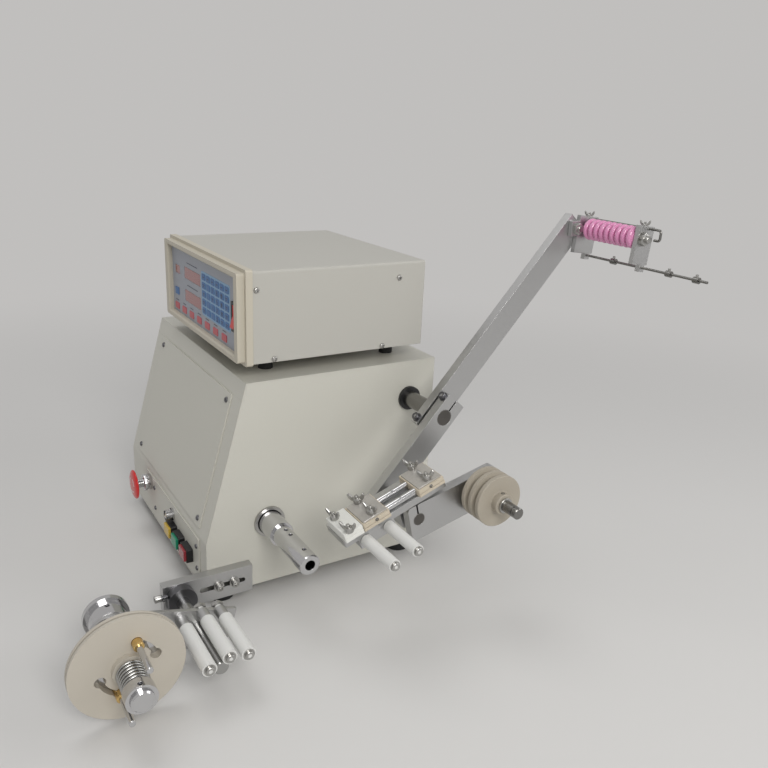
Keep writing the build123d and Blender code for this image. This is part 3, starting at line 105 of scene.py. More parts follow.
MATERIALS = {
    "cream_paint": dict(color=(0.6, 0.59, 0.53), rough=0.42, grain=0.9, bump=0.05, spread=0.015,
        edge=0.8),
    "grey_paint": dict(color=(0.5, 0.49, 0.45), rough=0.5, grain=0.5, bump=0.06, spread=0.05,
        edge=0.8),
    "beige_plastic": dict(color=(0.56, 0.52, 0.43), rough=0.45, grain=0.6, bump=0.03, edge=0.7),
    "panel_foil": dict(color=(0.33, 0.35, 0.4), rough=0.38, grain=0.7, bump=0.01, spread=0.02),
    "black_plastic": dict(color=(0.012, 0.012, 0.013), rough=0.4, grain=0.5, bump=0.02),
    "rubber": dict(color=(0.015, 0.015, 0.015), rough=0.75, grain=0.8, bump=0.05, spread=0.1),
    "red_plastic": dict(color=(0.62, 0.012, 0.012), rough=0.28, grain=2, bump=0.01, coat=0.3),
    "green_plastic": dict(color=(0.015, 0.24, 0.13), rough=0.3, grain=2, bump=0.01, coat=0.2),
    "yellow_plastic": dict(color=(0.62, 0.42, 0.06), rough=0.3, grain=2, bump=0.01, coat=0.2),
    "chrome": dict(color=(0.6, 0.6, 0.61), rough=0.13, metal=1.0, grain=0.25, bump=0.004,
        stretch=(6, 1, 1), edge=0.4, wear=0.05),
    "ground_steel": dict(color=(0.42, 0.42, 0.41), rough=0.24, metal=1.0, grain=0.3, bump=0.008,
        stretch=(8, 1, 1), edge=0.4, wear=0.06),
    "aluminium": dict(color=(0.52, 0.52, 0.52), rough=0.36, metal=1.0, grain=0.5, bump=0.02,
        spread=0.04, edge=0.5, wear=0.08),
    "zinc_steel": dict(color=(0.46, 0.455, 0.44), rough=0.28, metal=1.0, grain=0.5, bump=0.01,
        spread=0.06, wear=0.08),
    "white_nylon": dict(color=(0.74, 0.74, 0.72), rough=0.42, grain=0.6, bump=0.015, edge=0.5),
    "beige_laminate": dict(color=(0.54, 0.5, 0.41), rough=0.55, grain=0.5, bump=0.03,
        spread=0.1, edge=0.4),
    "pink_plastic": dict(color=(0.72, 0.28, 0.5), rough=0.22, grain=1.5, bump=0.005, coat=0.4,
        spread=0.05),
    "belt_rubber": dict(color=(0.02, 0.02, 0.02), rough=0.7, grain=1, bump=0.05),
    "circuit": dict(color=(0.02, 0.14, 0.05), rough=0.4, grain=3, bump=0.1, spread=0.3),
    "cast_housing": dict(color=(0.1, 0.1, 0.11), rough=0.5, grain=1, bump=0.15, spread=0.1),
    "felt": dict(color=(0.6, 0.53, 0.42), rough=0.95, grain=0.35, bump=0.25, spread=0.18,
        edge=0.5),
    "white_felt": dict(color=(0.8, 0.8, 0.76), rough=0.9, grain=0.35, bump=0.2, spread=0.08,
        edge=0.5),
    "brass": dict(color=(0.72, 0.5, 0.2), rough=0.25, metal=1.0, grain=0.4, bump=0.01,
        spread=0.05, wear=0.06),
    "dark_steel": dict(color=(0.16, 0.16, 0.17), rough=0.3, metal=1.0, grain=0.4, bump=0.01),
    "sawn_steel": dict(color=(0.115, 0.108, 0.1), rough=0.5, metal=0.75, grain=0.4, bump=0.03,
        spread=0.15, wear=0.1),
    "shaft_steel": dict(color=(0.24, 0.235, 0.225), rough=0.26, metal=1.0, grain=0.3, bump=0.01,
        stretch=(8, 1, 1), wear=0.08),
    "wheel_laminate": dict(color=(0.4, 0.36, 0.295), rough=0.5, grain=0.5, bump=0.03,
        spread=0.08, edge=0.4),
    "disc_laminate": dict(color=(0.54, 0.5, 0.43), rough=0.5, grain=0.5, bump=0.03, spread=0.05,
        edge=0.4),
    "red_lens": dict(color=(0.3, 0.03, 0.04), rough=0.25, grain=2, bump=0.01, coat=0.4),
    "clear_plate": dict(color=(0.42, 0.4, 0.37), rough=0.18, grain=3, bump=0.01, coat=0.8,
        spread=0.05),
    "red_window": dict(color=(0.26, 0.022, 0.022), rough=0.14, grain=4, bump=0.002, coat=0.6),
    "blue_key": dict(color=(0.05, 0.15, 0.36), rough=0.4, grain=0.7, bump=0.01, spread=0.03),
    "blue_field": dict(color=(0.24, 0.41, 0.6), rough=0.4, grain=0.7, bump=0.01, spread=0.03),
    "pink_key": dict(color=(0.52, 0.1, 0.12), rough=0.4, grain=0.7, bump=0.01, spread=0.03),
    "print_white": dict(color=(0.75, 0.76, 0.78), rough=0.5, grain=2, bump=0.002),
    "print_dark": dict(color=(0.05, 0.06, 0.09), rough=0.5, grain=2, bump=0.002),
}
M = {name: material(name, **look) for name, look in MATERIALS.items()}

# Looks that nodes have instead of their own slot's, and the slots that other looks belong to.
NODE_LOOK = {"brake_disc": "disc_laminate", "button_red": "red_lens", "head_rods": "shaft_steel",
             "traverse_shaft": "shaft_steel", "pivot_shaft": "shaft_steel"}
SLOT_OF = {row["node"]: row["material_slot"] for row in RECORD["subparts"]}
for name, node in NODES.items():
    node.data.materials.clear()
    node.data.materials.append(M[NODE_LOOK.get(name, SLOT_OF[name])])

# ---- shapes ------------------------------------------------------------------------------


def band(low, high, count):
    """Faces between two rings of points, from the index of each ring's first point."""
    return [(low + i, low + (i + 1) % count, high + (i + 1) % count, high + i)
            for i in range(count)]


class Shape:
    """Faces gathered from several forms in millimetres, then made into one piece."""

    def __init__(self):
        self.verts = []
        self.faces = []

    def add(self, verts, faces):
        """Take in the points and faces of one form."""
        shift = len(self.verts)
        self.verts += [tuple(v) for v in verts]
        self.faces += [tuple(i + shift for i in face) for face in faces]

    def loft(self, rings, place, segments=48, loop=False):
        """Rings of (height, radius or radius by angle) round the z axis of a placed frame."""
        verts = []
        for height, radius in rings:
            for step in range(segments):
                angle = 2 * math.pi * step / segments
                reach = radius(angle) if callable(radius) else radius
                spot = Vector((reach * math.cos(angle), reach * math.sin(angle), height))
                verts.append(place @ spot)
        faces = []
        for ring in range(len(rings) if loop else len(rings) - 1):
            faces += band(ring * segments, (ring + 1) % len(rings) * segments, segments)
        if not loop:
            top = (len(rings) - 1) * segments
            faces.append(tuple(reversed(range(segments))))
            faces.append(tuple(top + step for step in range(segments)))
        self.add(verts, faces)

    def plate(self, outline, thickness, place, bevel=0.0):
        """Outline in the xy plane of a placed frame, raised, with its top edge bevelled."""
        centre = [sum(p[i] for p in outline) / len(outline) for i in (0, 1)]
        layers = [(0.0, 0.0), (thickness - bevel, 0.0)] + ([(thickness, bevel)] if bevel else [])
        verts = []
        for height, inset in layers:
            for x, y in outline:
                dx, dy = x - centre[0], y - centre[1]
                long = math.hypot(dx, dy) or 1
                spot = Vector((x - inset * dx / long, y - inset * dy / long, height))
                verts.append(place @ spot)
        count = len(outline)
        top = (len(layers) - 1) * count
        faces = [tuple(reversed(range(count)))]
        for layer in range(len(layers) - 1):
            faces += band(layer * count, (layer + 1) * count, count)
        faces.append(tuple(top + step for step in range(count)))
        self.add(verts, faces)

    def make(self, name, look, body, smooth=35):
        """The finished piece, riding on its body."""
        mesh = bpy.data.meshes.new(name)
        mesh.from_pydata([tuple(c * MM for c in v) for v in self.verts], [], self.faces)
        mesh.validate()
        for polygon in mesh.polygons:
            polygon.use_smooth = True
        mesh.set_sharp_from_angle(angle=math.radians(smooth))
        mesh.materials.append(M[look])
        piece = bpy.data.objects.new(name, mesh)
        bpy.context.scene.collection.objects.link(piece)
        bpy.context.view_layer.update()
        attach(piece, body)
        return piece


def at(origin, z, x=None):
    """Placed frame: origin in millimetres, z axis out, optional x axis."""
    z = Vector(z).normalized()
    x = Vector(x).normalized() if x else z.orthogonal().normalized()
    y = z.cross(x).normalized()
    x = y.cross(z).normalized()
    turn = Matrix((x, y, z)).transposed().to_4x4()
    return Matrix.Translation(Vector(origin)) @ turn


def along_x(x, y, z):
    """Placed frame on an axis along X."""
    return at((x, y, z), RIGHT, BACK)


def raised(place, height, x=0, y=0):
    """The placed frame moved along its own axes."""
    return place @ Matrix.Translation((x, y, height))


def tilted(degrees):
    """Direction in the yz plane, that far up from the y axis."""
    return Vector((0, math.cos(math.radians(degrees)), math.sin(math.radians(degrees))))


def across(direction):
    """The direction turned by a quarter, from y towards z."""
    return Vector((0, -direction.z, direction.y))


def hexagon(flat):
    """Radius by angle of a hexagon, given half its width across flats."""
    step = math.pi / 3
    return lambda angle: flat / math.cos((angle + step / 2) % step - step / 2)


def cross(length, width):
    """Radius by angle of a four-armed recess."""
    def reach(angle):
        turned = (angle + math.pi / 4) % (math.pi / 2) - math.pi / 4
        return min(length / math.cos(turned), width / max(abs(math.sin(turned)), 0.05))
    return reach


def ribbed(radius, depth, count):
    """Radius by angle of a knurled edge."""
    return lambda angle: radius - depth * (math.sin(angle * count) > 0)


def rounded(width, height, corner, steps=4):
    """Outline of a rounded rectangle."""
    points = []
    for index, (sx, sy) in enumerate(((1, 1), (-1, 1), (-1, -1), (1, -1))):
        for step in range(steps + 1):
            angle = math.pi / 2 * (index + step / steps)
            points.append((sx * (width / 2 - corner) + corner * math.cos(angle),
                           sy * (height / 2 - corner) + corner * math.sin(angle)))
    return points


def pan_head(shape, place, radius, height):
    """Cross-head screw head with its recess."""
    recess = cross(radius * 0.58, radius * 0.17)
    shape.loft([(0, radius), (height * 0.35, radius), (height * 0.75, radius * 0.86),
                (height, radius * 0.62), (height, recess),
                (height * 0.25, lambda a: recess(a) * 0.75)], place, 64)


def socket_head(shape, place, radius, height, start):
    """Socket screw head with a hexagon recess, its side finely knurled."""
    knurl = ribbed(radius, radius * 0.02, 24)
    recess = hexagon(radius * 0.48)
    shape.loft([(start, radius * 0.98), (start, knurl), (height - 0.5, knurl),
                (height, radius * 0.92), (height, recess),
                (max(start, height * 0.45), recess)], place, 96)


def grub(name, body, mouth, out, radius=2.4, depth=1.2):
    """Hexagon socket set screw seated a little below the mouth of its hole."""
    shape = Shape()
    recess = hexagon(radius * 0.5)
    top = at(Vector(mouth) - Vector(out).normalized() * depth, out)
    shape.loft([(-2.5, radius), (-0.2, radius), (0, radius * 0.9), (0, recess), (-1.6, recess)],
               top)
    shape.make(name, "dark_steel", body)


def roller_screw(name, body, place, washer, head, height, flat):
    """Washer and low socket head at a roller's end."""
    shape = Shape()
    shape.loft([(0.02, washer), (1.0, washer), (1.0, head), (height - 0.4, head),
                (height, head - 0.5), (height, hexagon(flat)), (height - flat, hexagon(flat))],
               place, 60)
    shape.make(name, "zinc_steel", body)


def sawn_end(name, body, x, centre, radius):
    """Turned end face of a shaft with its chamfer and fine tool rings."""
    rings = [(-0.6, radius), (0.0, radius - 0.5)]
    for step in range(9):
        reach = (radius - 0.9) * (1 - step / 9)
        rings += [(0.10, reach), (0.02, reach - 0.25)]
    shape = Shape()
    shape.loft(rings, along_x(x, centre.y, centre.z), 64)
    shape.make(name, "sawn_steel", body)


WING_LEAF = ((1.8, 0.4), (4.4, 1.2), (6.2, 3.6), (6.6, 6.4), (5.6, 7.2), (3.8, 5.2), (2.0, 2.6))
WING_HUB = ((-0.4, 3.0), (0.6, 3.3), (2.6, 2.9), (3.1, 2.3), (3.1, 1.4), (5.0, 1.4), (5.4, 1.0))


def wing_nut(shape, spot, size):
    """Wing nut on its stud."""
    shape.loft([(h * size, r * size) for h, r in WING_HUB], spot, 32)
    flat = raised(spot @ Matrix.Rotation(math.pi / 2, 4, "X"), -0.7 * size)
    for side in (-1, 1):
        leaf = [(side * x * size, y * size) for x, y in WING_LEAF]
        shape.plate(leaf[::side], 1.4 * size, flat, 0.3)


# ---- sheet metal screws ------------------------------------------------------------------
SIDE_X, LEFT_X, FRONT_Y, TOP_FRONT_Y, BACK_Y = -110.0, -427.0, -78.0, -26.5, 226.0
KNEE_Z, TOP_Z, SHEET = -13.5, 176.0, 1.5
MID_X = (SIDE_X + LEFT_X) / 2
CASE_RIGHT_X, CASE_LEFT_X = -112.5, -372.5
ACCESS_SCREW_X = 121.5       # access panel screws, from the middle
REAR_SCREW_X = 149.5         # rear panel screws, from the middle
BRAKE_BOLT_X, BRAKE_BOLT_Z = -98, -62.3
slope_up = Vector((0, TOP_FRONT_Y - FRONT_Y, TOP_Z - KNEE_Z)).normalized()
slope_out = Vector(RIGHT).cross(slope_up)
slope_length = math.hypot(TOP_FRONT_Y - FRONT_Y, TOP_Z - KNEE_Z)

dark_screws = Shape()
for x in (MID_X - ACCESS_SCREW_X, MID_X + ACCESS_SCREW_X):
    for down in (-31.0, 18.0 - slope_length):
        spot = Vector((x, TOP_FRONT_Y, TOP_Z)) + slope_up * down + slope_out * SHEET
        pan_head(dark_screws, at(spot, slope_out, (0.8, 0.1, 0.6)), 3.4, 2.0)
for x, z in ((-314.0, -30.5), (-314.0, -61.0), (-141.0, -29.5), (-141.0, -59.0)):
    pan_head(dark_screws, at((x, FRONT_Y - SHEET, z), FRONT, (1, 0, 0.3)), 3.0, 1.8)
dark_screws.make("front_screws", "dark_steel", "machine")

screws = Shape()
for y, z in ((-12.5, 279.0), (168.6, 281.0), (8.2, 199.6), (148.5, 199.1)):
    pan_head(screws, at((CASE_RIGHT_X, y, z), RIGHT, (0, 1, 0.4)), 3.4, 2.0)
    pan_head(screws, at((CASE_LEFT_X, y, z), LEFT, (0, 1, 0.2)), 3.4, 2.0)
for x in (MID_X + REAR_SCREW_X, MID_X - REAR_SCREW_X):
    for z in (-75.0, 47.0, 169.0):
        pan_head(screws, at((x, BACK_Y + SHEET, z), BACK, (1, 0, 0.5)), 3.2, 1.8)
for y in (-68.3, -49.5):
    bolt = along_x(BRAKE_BOLT_X, y, BRAKE_BOLT_Z)
    screws.loft([(0.3, 6.2), (1.5, 6.2), (1.7, 6.0), (1.7, 4.3)], bolt)
    socket_head(screws, bolt, 4.4, 7.0, 1.7)
screws_piece = screws.make("screws_detailed", "zinc_steel", "machine")
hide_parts("panel_screws")

# ---- foot switch socket ------------------------------------------------------------------
SOCKET_X, SOCKET_Z = -233, -31
THREAD_TURNS = 7
PIN_COUNT, PIN_CIRCLE_R = 3, 2.3
socket_place = at((SOCKET_X, FRONT_Y - SHEET, SOCKET_Z), FRONT, RIGHT)
thread = [(0, 8), (1.8, 8), (2, 7.8), (2, 6.3)]
for turn in range(THREAD_TURNS):
    thread += [(2.4 + turn, 6.7), (2.9 + turn, 6.3)]
thread += [(9.6, 6.5), (10, 6.2), (10, 5.4), (1.5, 5.4), (1.5, 4.2), (9.2, 4.2), (9.2, 0.2),
           (0, 0.2)]
socket = Shape()
socket.loft(thread, socket_place, 64)
socket.make("socket_ring", "chrome", "machine")
core = Shape()
core.loft([(1.4, 4.1), (8.6, 4.1), (8.8, 3.9)], socket_place)
core.make("socket_core", "black_plastic", "machine")
pins = Shape()
for step in range(PIN_COUNT):
    angle = math.radians(90 + 120 * step)
    spot = raised(socket_place, 8.7, x=PIN_CIRCLE_R * math.cos(angle),
                  y=PIN_CIRCLE_R * math.sin(angle))
    pins.loft([(0, 0.8), (0.5, 0.8), (0.8, 0.4)], spot, 16)
pins.make("socket_pins", "brass", "machine")

# ---- stop switch -------------------------------------------------------------------------
STOP_X, STOP_Z = -334, -29.5
STOP_FACE = 25.15            # the arrows' foot, just inside the mushroom's face
ARROW_OUTER_R, ARROW_INNER_R = 10.6, 9.4
stop_place = at((STOP_X, FRONT_Y - SHEET, STOP_Z), FRONT, RIGHT)
ring = Shape()
ribs = ribbed(11.0, 0.25, 40)
ring.loft([(0, 10.8), (0.3, 11), (4.6, 11), (5, 10.6), (5.1, 10.1), (5.9, 10.1), (6.0, 10.6),
           (6.2, ribs), (9.6, ribs), (10.1, 10.7), (10.5, 10.1), (10.5, 6.35), (0, 6.35)],
          stop_place, 160, loop=True)
stop_ring = ring.make("stop_ring", "chrome", "machine")
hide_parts("estop_collar")
sleeve = Shape()
sleeve.loft([(5.2, 5.6), (5.2, 6.0), (19.4, 6.0), (20.0, 7.2), (20.3, 7.2), (20.3, 5.6)],
            stop_place, loop=True)
sleeve.make("stop_sleeve", "chrome", "stop_switch")
head = Shape()
head.loft([(20.0, 7.3), (20.0, 17.0), (20.5, 19.2), (21.4, 20.0), (22.4, 19.8), (23.6, 18.4),
           (24.6, 15.6), (25.2, 11.5), (25.5, 6.0), (25.55, 1.0)], stop_place, 96)
stop_head = head.make("stop_head", "red_plastic", "stop_switch", 50)
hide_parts("estop_button")
arrows = Shape()
for turn in (0, 120, 240):
    angles = [math.radians(turn + 8 + index * 5) for index in range(13)]
    bar = [(ARROW_OUTER_R * math.cos(a), ARROW_OUTER_R * math.sin(a)) for a in angles]
    bar += [(ARROW_INNER_R * math.cos(a), ARROW_INNER_R * math.sin(a)) for a in angles[::-1]]
    arrows.plate(bar, 0.3, raised(stop_place, STOP_FACE))
arrows.make("stop_marks", "print_white", "stop_switch")

# ---- control front -----------------------------------------------------------------------
PANEL_Y = -28.0
WINDOW_X, WINDOW_Z = -280.5, (263, 234)
KEYPAD_X, KEYPAD_Z = -198, 250
KEY_COLUMNS, KEY_ROWS, KEY_PITCH_X, KEY_PITCH_Z = 6, 5, 15.3, 10.2
KEY_RISE = 0.9
ROW_KEY_COUNT, ROW_KEY_X, ROW_KEY_PITCH = 7, -257, 28.8
DIGIT_SIZE, DIGIT_LINE = 1.15, 0.5


def front_plate(shape, x, z, width, height, corner, rise, lift=0.0, bevel=0.25):
    """Raised plate on the recessed front foil."""
    place = at((x, PANEL_Y - lift, z), FRONT, RIGHT)
    shape.plate(rounded(width, height, corner), rise, place, bevel)


def key_spot(column, row):
    """Middle of a key in the keypad."""
    return KEYPAD_X + (column - 2.5) * KEY_PITCH_X, KEYPAD_Z + (row - 2) * KEY_PITCH_Z


SEGMENTS = {
    "a": ((-1, 2), (1, 2)), "b": ((1, 2), (1, 0)), "c": ((1, 0), (1, -2)),
    "d": ((-1, -2), (1, -2)), "e": ((-1, 0), (-1, -2)), "f": ((-1, 2), (-1, 0)),
    "g": ((-1, 0), (1, 0)),
}
DIGITS = {0: "abcdef", 1: "bc", 2: "abged", 3: "abgcd", 4: "fgbc", 5: "afgcd", 6: "afgedc",
          7: "abc", 8: "abcdefg", 9: "abfgcd"}


def number(shape, value, x, z):
    """A plain numeral built of bars, on a key."""
    size, thick = DIGIT_SIZE, DIGIT_LINE
    for segment in DIGITS[value]:
        (x0, z0), (x1, z1) = SEGMENTS[segment]
        if z0 == z1:
            wide = (abs(x1 - x0) * size + thick * 0.6, thick)
        else:
            wide = (thick, abs(z1 - z0) * size - thick * 0.5)
        front_plate(shape, x + (x0 + x1) / 2 * size, z + (z0 + z1) / 2 * size, *wide,
                    thick * 0.3, 0.12, KEY_RISE, 0)


windows = Shape()
for z in WINDOW_Z:
    front_plate(windows, WINDOW_X, z, 59, 14.4, 0.6, 0.35, -0.4)
front_plate(windows, -338, 262, 17.4, 10.4, 0.6, 0.35, -0.4)
windows.make("display_windows", "red_window", "machine")
field = Shape()
front_plate(field, KEYPAD_X, KEYPAD_Z, 95, 54, 3, 0.3)
field.make("keypad_field", "blue_field", "machine")
keys = Shape()
for column in range(KEY_COLUMNS):
    for row in range(KEY_ROWS):
        front_plate(keys, *key_spot(column, row), 12.1, 7.7, 1.2, KEY_RISE, 0, 0.3)
front_plate(keys, -342, 233, 14.4, 9.4, 1.2, KEY_RISE, 0, 0.3)
keys.make("keypad_keys", "blue_key", "machine")
marks = Shape()
for index, value in enumerate((7, 8, 9, 4, 5, 6, 1, 2, 3, 0)):
    column, row = (index % 3, 3 - index // 3) if value else (1, 0)
    number(marks, value, *key_spot(column + 2, row))
for column in range(KEY_COLUMNS):
    front_plate(marks, *key_spot(column, 4), 5.5, 1.0, 0.3, 0.1, KEY_RISE, 0)
for column in (0, 4, 5):
    for row in range(4):
        x, z = key_spot(column, row)
        front_plate(marks, x, z + 0.9, 6.5, 0.8, 0.3, 0.1, KEY_RISE, 0)
        front_plate(marks, x, z - 1.1, 4.0, 0.8, 0.3, 0.1, KEY_RISE, 0)
marks.make("keypad_marks", "print_dark", "machine")
row_keys = Shape()
captions = Shape()
for index in range(ROW_KEY_COUNT):
    x = ROW_KEY_X + (index - 3) * ROW_KEY_PITCH
    front_plate(row_keys, x, 213, 15.4, 8.4, 1.2, KEY_RISE, 0, 0.3)
    front_plate(captions, x, 220.6, 12, 1.1, 0.3, 0.1, 0.0, 0)
row_keys.make("row_keys", "pink_key", "machine")
for z in (248.0, 276.5):
    front_plate(captions, WINDOW_X, z, 40, 1.0, 0.3, 0.1, 0.0, 0)
captions.make("front_captions", "print_dark", "machine")

# ---- spindle and traverse ----------------------------------------------------------------
SLEEVE_R = 12.0
for index, x in enumerate((-62.0, -50.0, -15.0), start=1):
    grub(f"spindle_grub_{index}", "spindle", (x, 0, SLEEVE_R), UP)

bar_up = tilted(48.5)
bar_side = across(bar_up)
axis_point = Vector((0, 189.5, 127.7))       # the traverse shaft's axis
for name, body, x, along in (("upper_clamp_screw", "upper_guide", -54.5, -18),
                             ("lower_clamp_screw", "lower_guide", -38.5, 19)):
    spot = axis_point + bar_up * along + bar_side * 15 + Vector((x, 0, 0))
    shape = Shape()
    socket_head(shape, at(spot, bar_side), 4.5, 5.4, 0.2)
    shape.loft([(0.02, 5.6), (0.7, 5.6), (0.9, 5.4)], at(spot, bar_side))
    shape.make(name, "dark_steel", body)

# ---- head --------------------------------------------------------------------------------
AXLE_Y, AXLE_Z = 394.5, 341
ROD_Y, ROD_Z, ROD_R = 400.5, 307.5, 3.2
WHEEL_COUNT, WHEELS_X, WHEELS_LENGTH = 9, -37.9, 76.2
head_bolt = axis_point + bar_up * 285
shape = Shape()
shape.loft([(-0.2, 6.6), (0.0, 6.8), (-0.2, hexagon(6.4)), (-5.6, hexagon(6.4)), (-6.2, 5.4),
            (-6.8, 4.0), (-7.2, 3.8)], along_x(-60.6, head_bolt.y, head_bolt.z), 60)
shape.loft([(0, hexagon(6.6)), (4.0, hexagon(6.6)), (4.5, 5.6), (4.6, 4.0), (6.2, 4.0),
            (6.6, 3.5)], along_x(-42.1, head_bolt.y, head_bolt.z), 60)
shape.make("head_bolt_hexes", "zinc_steel", "head")
nut = Shape()
nut.loft([(0.02, 8.4), (1.2, 8.4), (1.2, hexagon(6.9)), (5.0, hexagon(6.9)), (5.6, 6.0),
          (5.8, 4.1), (10.2, 4.1), (10.6, 3.6)], along_x(45, AXLE_Y, AXLE_Z), 60)
nut.make("axle_nut", "zinc_steel", "head")
wheels = Shape()
for index in range(WHEEL_COUNT):
    along = WHEELS_X + index * WHEELS_LENGTH / WHEEL_COUNT
    wheels.loft([(0, 4.1), (0, 8.6), (0.4, 10.6), (1.1, 12.0), (2.2, 12.8), (3.7, 13.0),
                 (5.2, 12.8), (6.3, 12.0), (7.0, 10.6), (7.4, 8.6), (8.3, 8.0), (8.3, 4.1)],
                along_x(along, AXLE_Y, AXLE_Z), 64, loop=True)
pink_wheels = wheels.make("wire_wheels_turned", "pink_plastic", "wire_wheels")
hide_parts("tension_wheels")
line_screws = Shape()
for x in (2.0, 84.0, 121.0):
    line_screws.loft([(0, 1.6), (2.8, 1.6), (3.0, 1.4), (3.0, hexagon(0.8)), (1.8, hexagon(0.8))],
                     at((x, ROD_Y, ROD_Z + ROD_R), UP), 36)
line_screws.make("line_rod_screws", "zinc_steel", "head")
wings = Shape()
for x in (-45.2, 42.0):
    wing_nut(wings, at((x, 399.5, 355.0), (0, -0.1, 1), (1, 0.5, 0)), 0.95)
wings.make("head_wing_screws", "zinc_steel", "head")

# ---- tray --------------------------------------------------------------------------------
guide_up = tilted(19.7)
guide_out = across(guide_up)
pivot = axis_point - bar_up * 111.7          # the pivot shaft's axis


def tray_point(x, along, up):
    """Point of the tray's own frame."""
    return pivot + guide_up * along + guide_out * up + Vector((x, 0, 0))


def tray_layer(shape, xs, alongs, ups, bevel):
    """Flat layer on the tray, given its two ends in each direction."""
    (x0, x1), (a0, a1), (u0, u1) = xs, alongs, ups
    place = at(tray_point((x0 + x1) / 2, (a0 + a1) / 2, u0), guide_out, RIGHT)
    shape.plate(rounded(x1 - x0, a1 - a0, 1.0), u1 - u0, place, bevel)


TRAY_X = (-2, 40)
FRONT_BLOCK = (-89, -66.5)
upper = Shape()
tray_layer(upper, TRAY_X, FRONT_BLOCK, (35.2, 40.1), 0.6)
upper.make("block_front_top", "white_felt", "tray")
lower = Shape()
tray_layer(lower, TRAY_X, FRONT_BLOCK, (29.7, 34.9), 0.4)
lower.make("block_front_low", "white_felt", "tray")
felts = Shape()
covers = Shape()
plates = Shape()
for a0, a1 in ((-65.8, -32.0), (6.0, 40.0)):
    tray_layer(felts, TRAY_X, (a0, a1), (29.7, 33.2), 0.2)
    tray_layer(covers, (-1.6, 39.6), (a0 + 0.4, a1 - 0.4), (33.5, 38.2), 0.4)
    tray_layer(plates, (0.5, 37.5), (a0 + 2.0, a1 - 2.0), (38.2, 39.9), 0.3)
felt_piece = felts.make("felt_blocks", "felt", "tray")
covers.make("block_covers", "felt", "tray")
plates.make("block_plates", "clear_plate", "tray")
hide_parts("guide_blocks")
tray_wings = Shape()
for index, (x, along) in enumerate(((7, -82), (38, -81), (3, -50), (31, -49), (1, 24), (31, 24))):
    spot = tray_point(x, along, 40.0)
    turn = (1, 0.2 + 0.35 * (index % 3), 0.3)
    tray_wings.loft([(0, 4.6), (0.9, 4.6), (1.1, 4.3), (1.1, 2.6)], at(spot, guide_out), 40)
    wing_nut(tray_wings, at(spot + guide_out * 1.2, guide_out, turn), 1.5)
tray_wing_piece = tray_wings.make("wing_screws_detailed", "zinc_steel", "tray")
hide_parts("wing_screws")
plate_screws = Shape()
for along in (-49.0, 22.0):
    for x, out in ((-1.6, LEFT), (39.6, RIGHT)):
        plate_screws.loft([(-1, 1.9), (0.5, 1.9), (0.8, 1.6), (0.8, hexagon(0.9)),
                           (-0.4, hexagon(0.9))], at(tray_point(x, along, 35.9), out, BACK), 36)
plate_screws.make("block_side_screws", "dark_steel", "tray")
for index, x in enumerate((12.5, 30.0), start=1):
    grub(f"rod_grub_{index}", "tray", tray_point(x, -13, 37.4), guide_out, 1.9, 0.0)
for index, along in enumerate((-66.3, -37.5), start=1):
    place = at(tray_point(93.0, along, 17), RIGHT, BACK)
    roller_screw(f"tray_roller_screw_{index}", f"tray_roller_{index}", place, 5.3, 4.4, 3.2, 2.0)

# ---- grooved wheel -----------------------------------------------------------------------
arm_up = tilted(13.7)
arm_out = across(arm_up)
wheel = pivot + arm_up * 82.9 + arm_out * 0.7
place = along_x(0, wheel.y, wheel.z)
rim = Shape()
rim.loft([(37, 6.6), (37, 11.6), (37.4, 12), (41, 12), (41, 29.4), (41.6, 30), (45.6, 30),
          (47.5, 24.5), (48, 24), (51.6, 24), (52.1, 24.5), (53.6, 30), (58.0, 30), (59.9, 24.5),
          (60.4, 24), (64, 24), (64.5, 24.5), (66, 30), (70.4, 30), (71, 29.4), (71, 13.5),
          (71.6, 12), (79.4, 12), (80, 11.4), (80, 6.6)], place, 96, loop=True)
rim_piece = rim.make("wheel_rim", "wheel_laminate", "two_groove_wheel", 20)
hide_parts("grooved_wheel")
shaft = Shape()
shaft.loft([(19, 7.6), (19.4, 8), (21, 8), (21, 6.5), (96.5, 6.5), (96.8, 5.7), (98.2, 5.7),
            (98.5, 6.5), (103.2, 6.5), (104, 5.7)], place)
shaft.make("wheel_axle", "shaft_steel", "two_groove_wheel")
clip = Shape()
clip.loft([(80.2, 6.6), (80.2, 8.4), (80.5, 8.7), (82.6, 8.7), (82.9, 8.4), (82.9, 6.6)],
          place, loop=True)
clip.make("wheel_washer", "zinc_steel", "two_groove_wheel")
grub("wheel_grub", "two_groove_wheel", (75.5, wheel.y, wheel.z + 12.2), UP, 2.1, 0.0)

shape = Shape()
socket_head(shape, at(pivot + arm_up * -3.7 + arm_out * 18.4 + Vector((28, 0, 0)), arm_out),
            3.6, 3.4, 0.1)
shape.make("arm_clamp_screw", "dark_steel", "wheel_carrier")
sawn_end("traverse_end", "traverse", -32.5, axis_point, 9.7)
sawn_end("pivot_end", "lower_guide", 34.0, pivot, 7.0)

# ---- brake -------------------------------------------------------------------------------
DISC_Y, DISC_Z, PIN_REACH = -200.9, -38.8, 27
ROLLER_TIPS = ((55.0, -131.7, -48.3), (50.0, -109.3, -45.5), (50.0, -89.7, -49.0))
shape = Shape()
socket_head(shape, at((-91.7, -137.0, -53.5), FRONT), 4.0, 7.4, 0.2)
shape.make("brake_clamp_screw", "zinc_steel", "brake_carrier")
for index, (tip, y, z) in enumerate(ROLLER_TIPS, start=1):
    body = f"feed_roller_{index}"
    roller_screw(f"feed_roller_screw_{index}", body, along_x(tip - 3, y, z), 6.0, 4.5, 3.5, 2.1)
    nut = Shape()
    nut.loft([(0, hexagon(6)), (-4, hexagon(6)), (-4.5, 5), (-4.6, 3.9), (-5.6, 3.9), (-6, 3.4)],
             along_x(-41.1, y, z), 60)
    nut.make(f"feed_roller_nut_{index}", "zinc_steel", body)
bushes = Shape()
pin_ends = Shape()
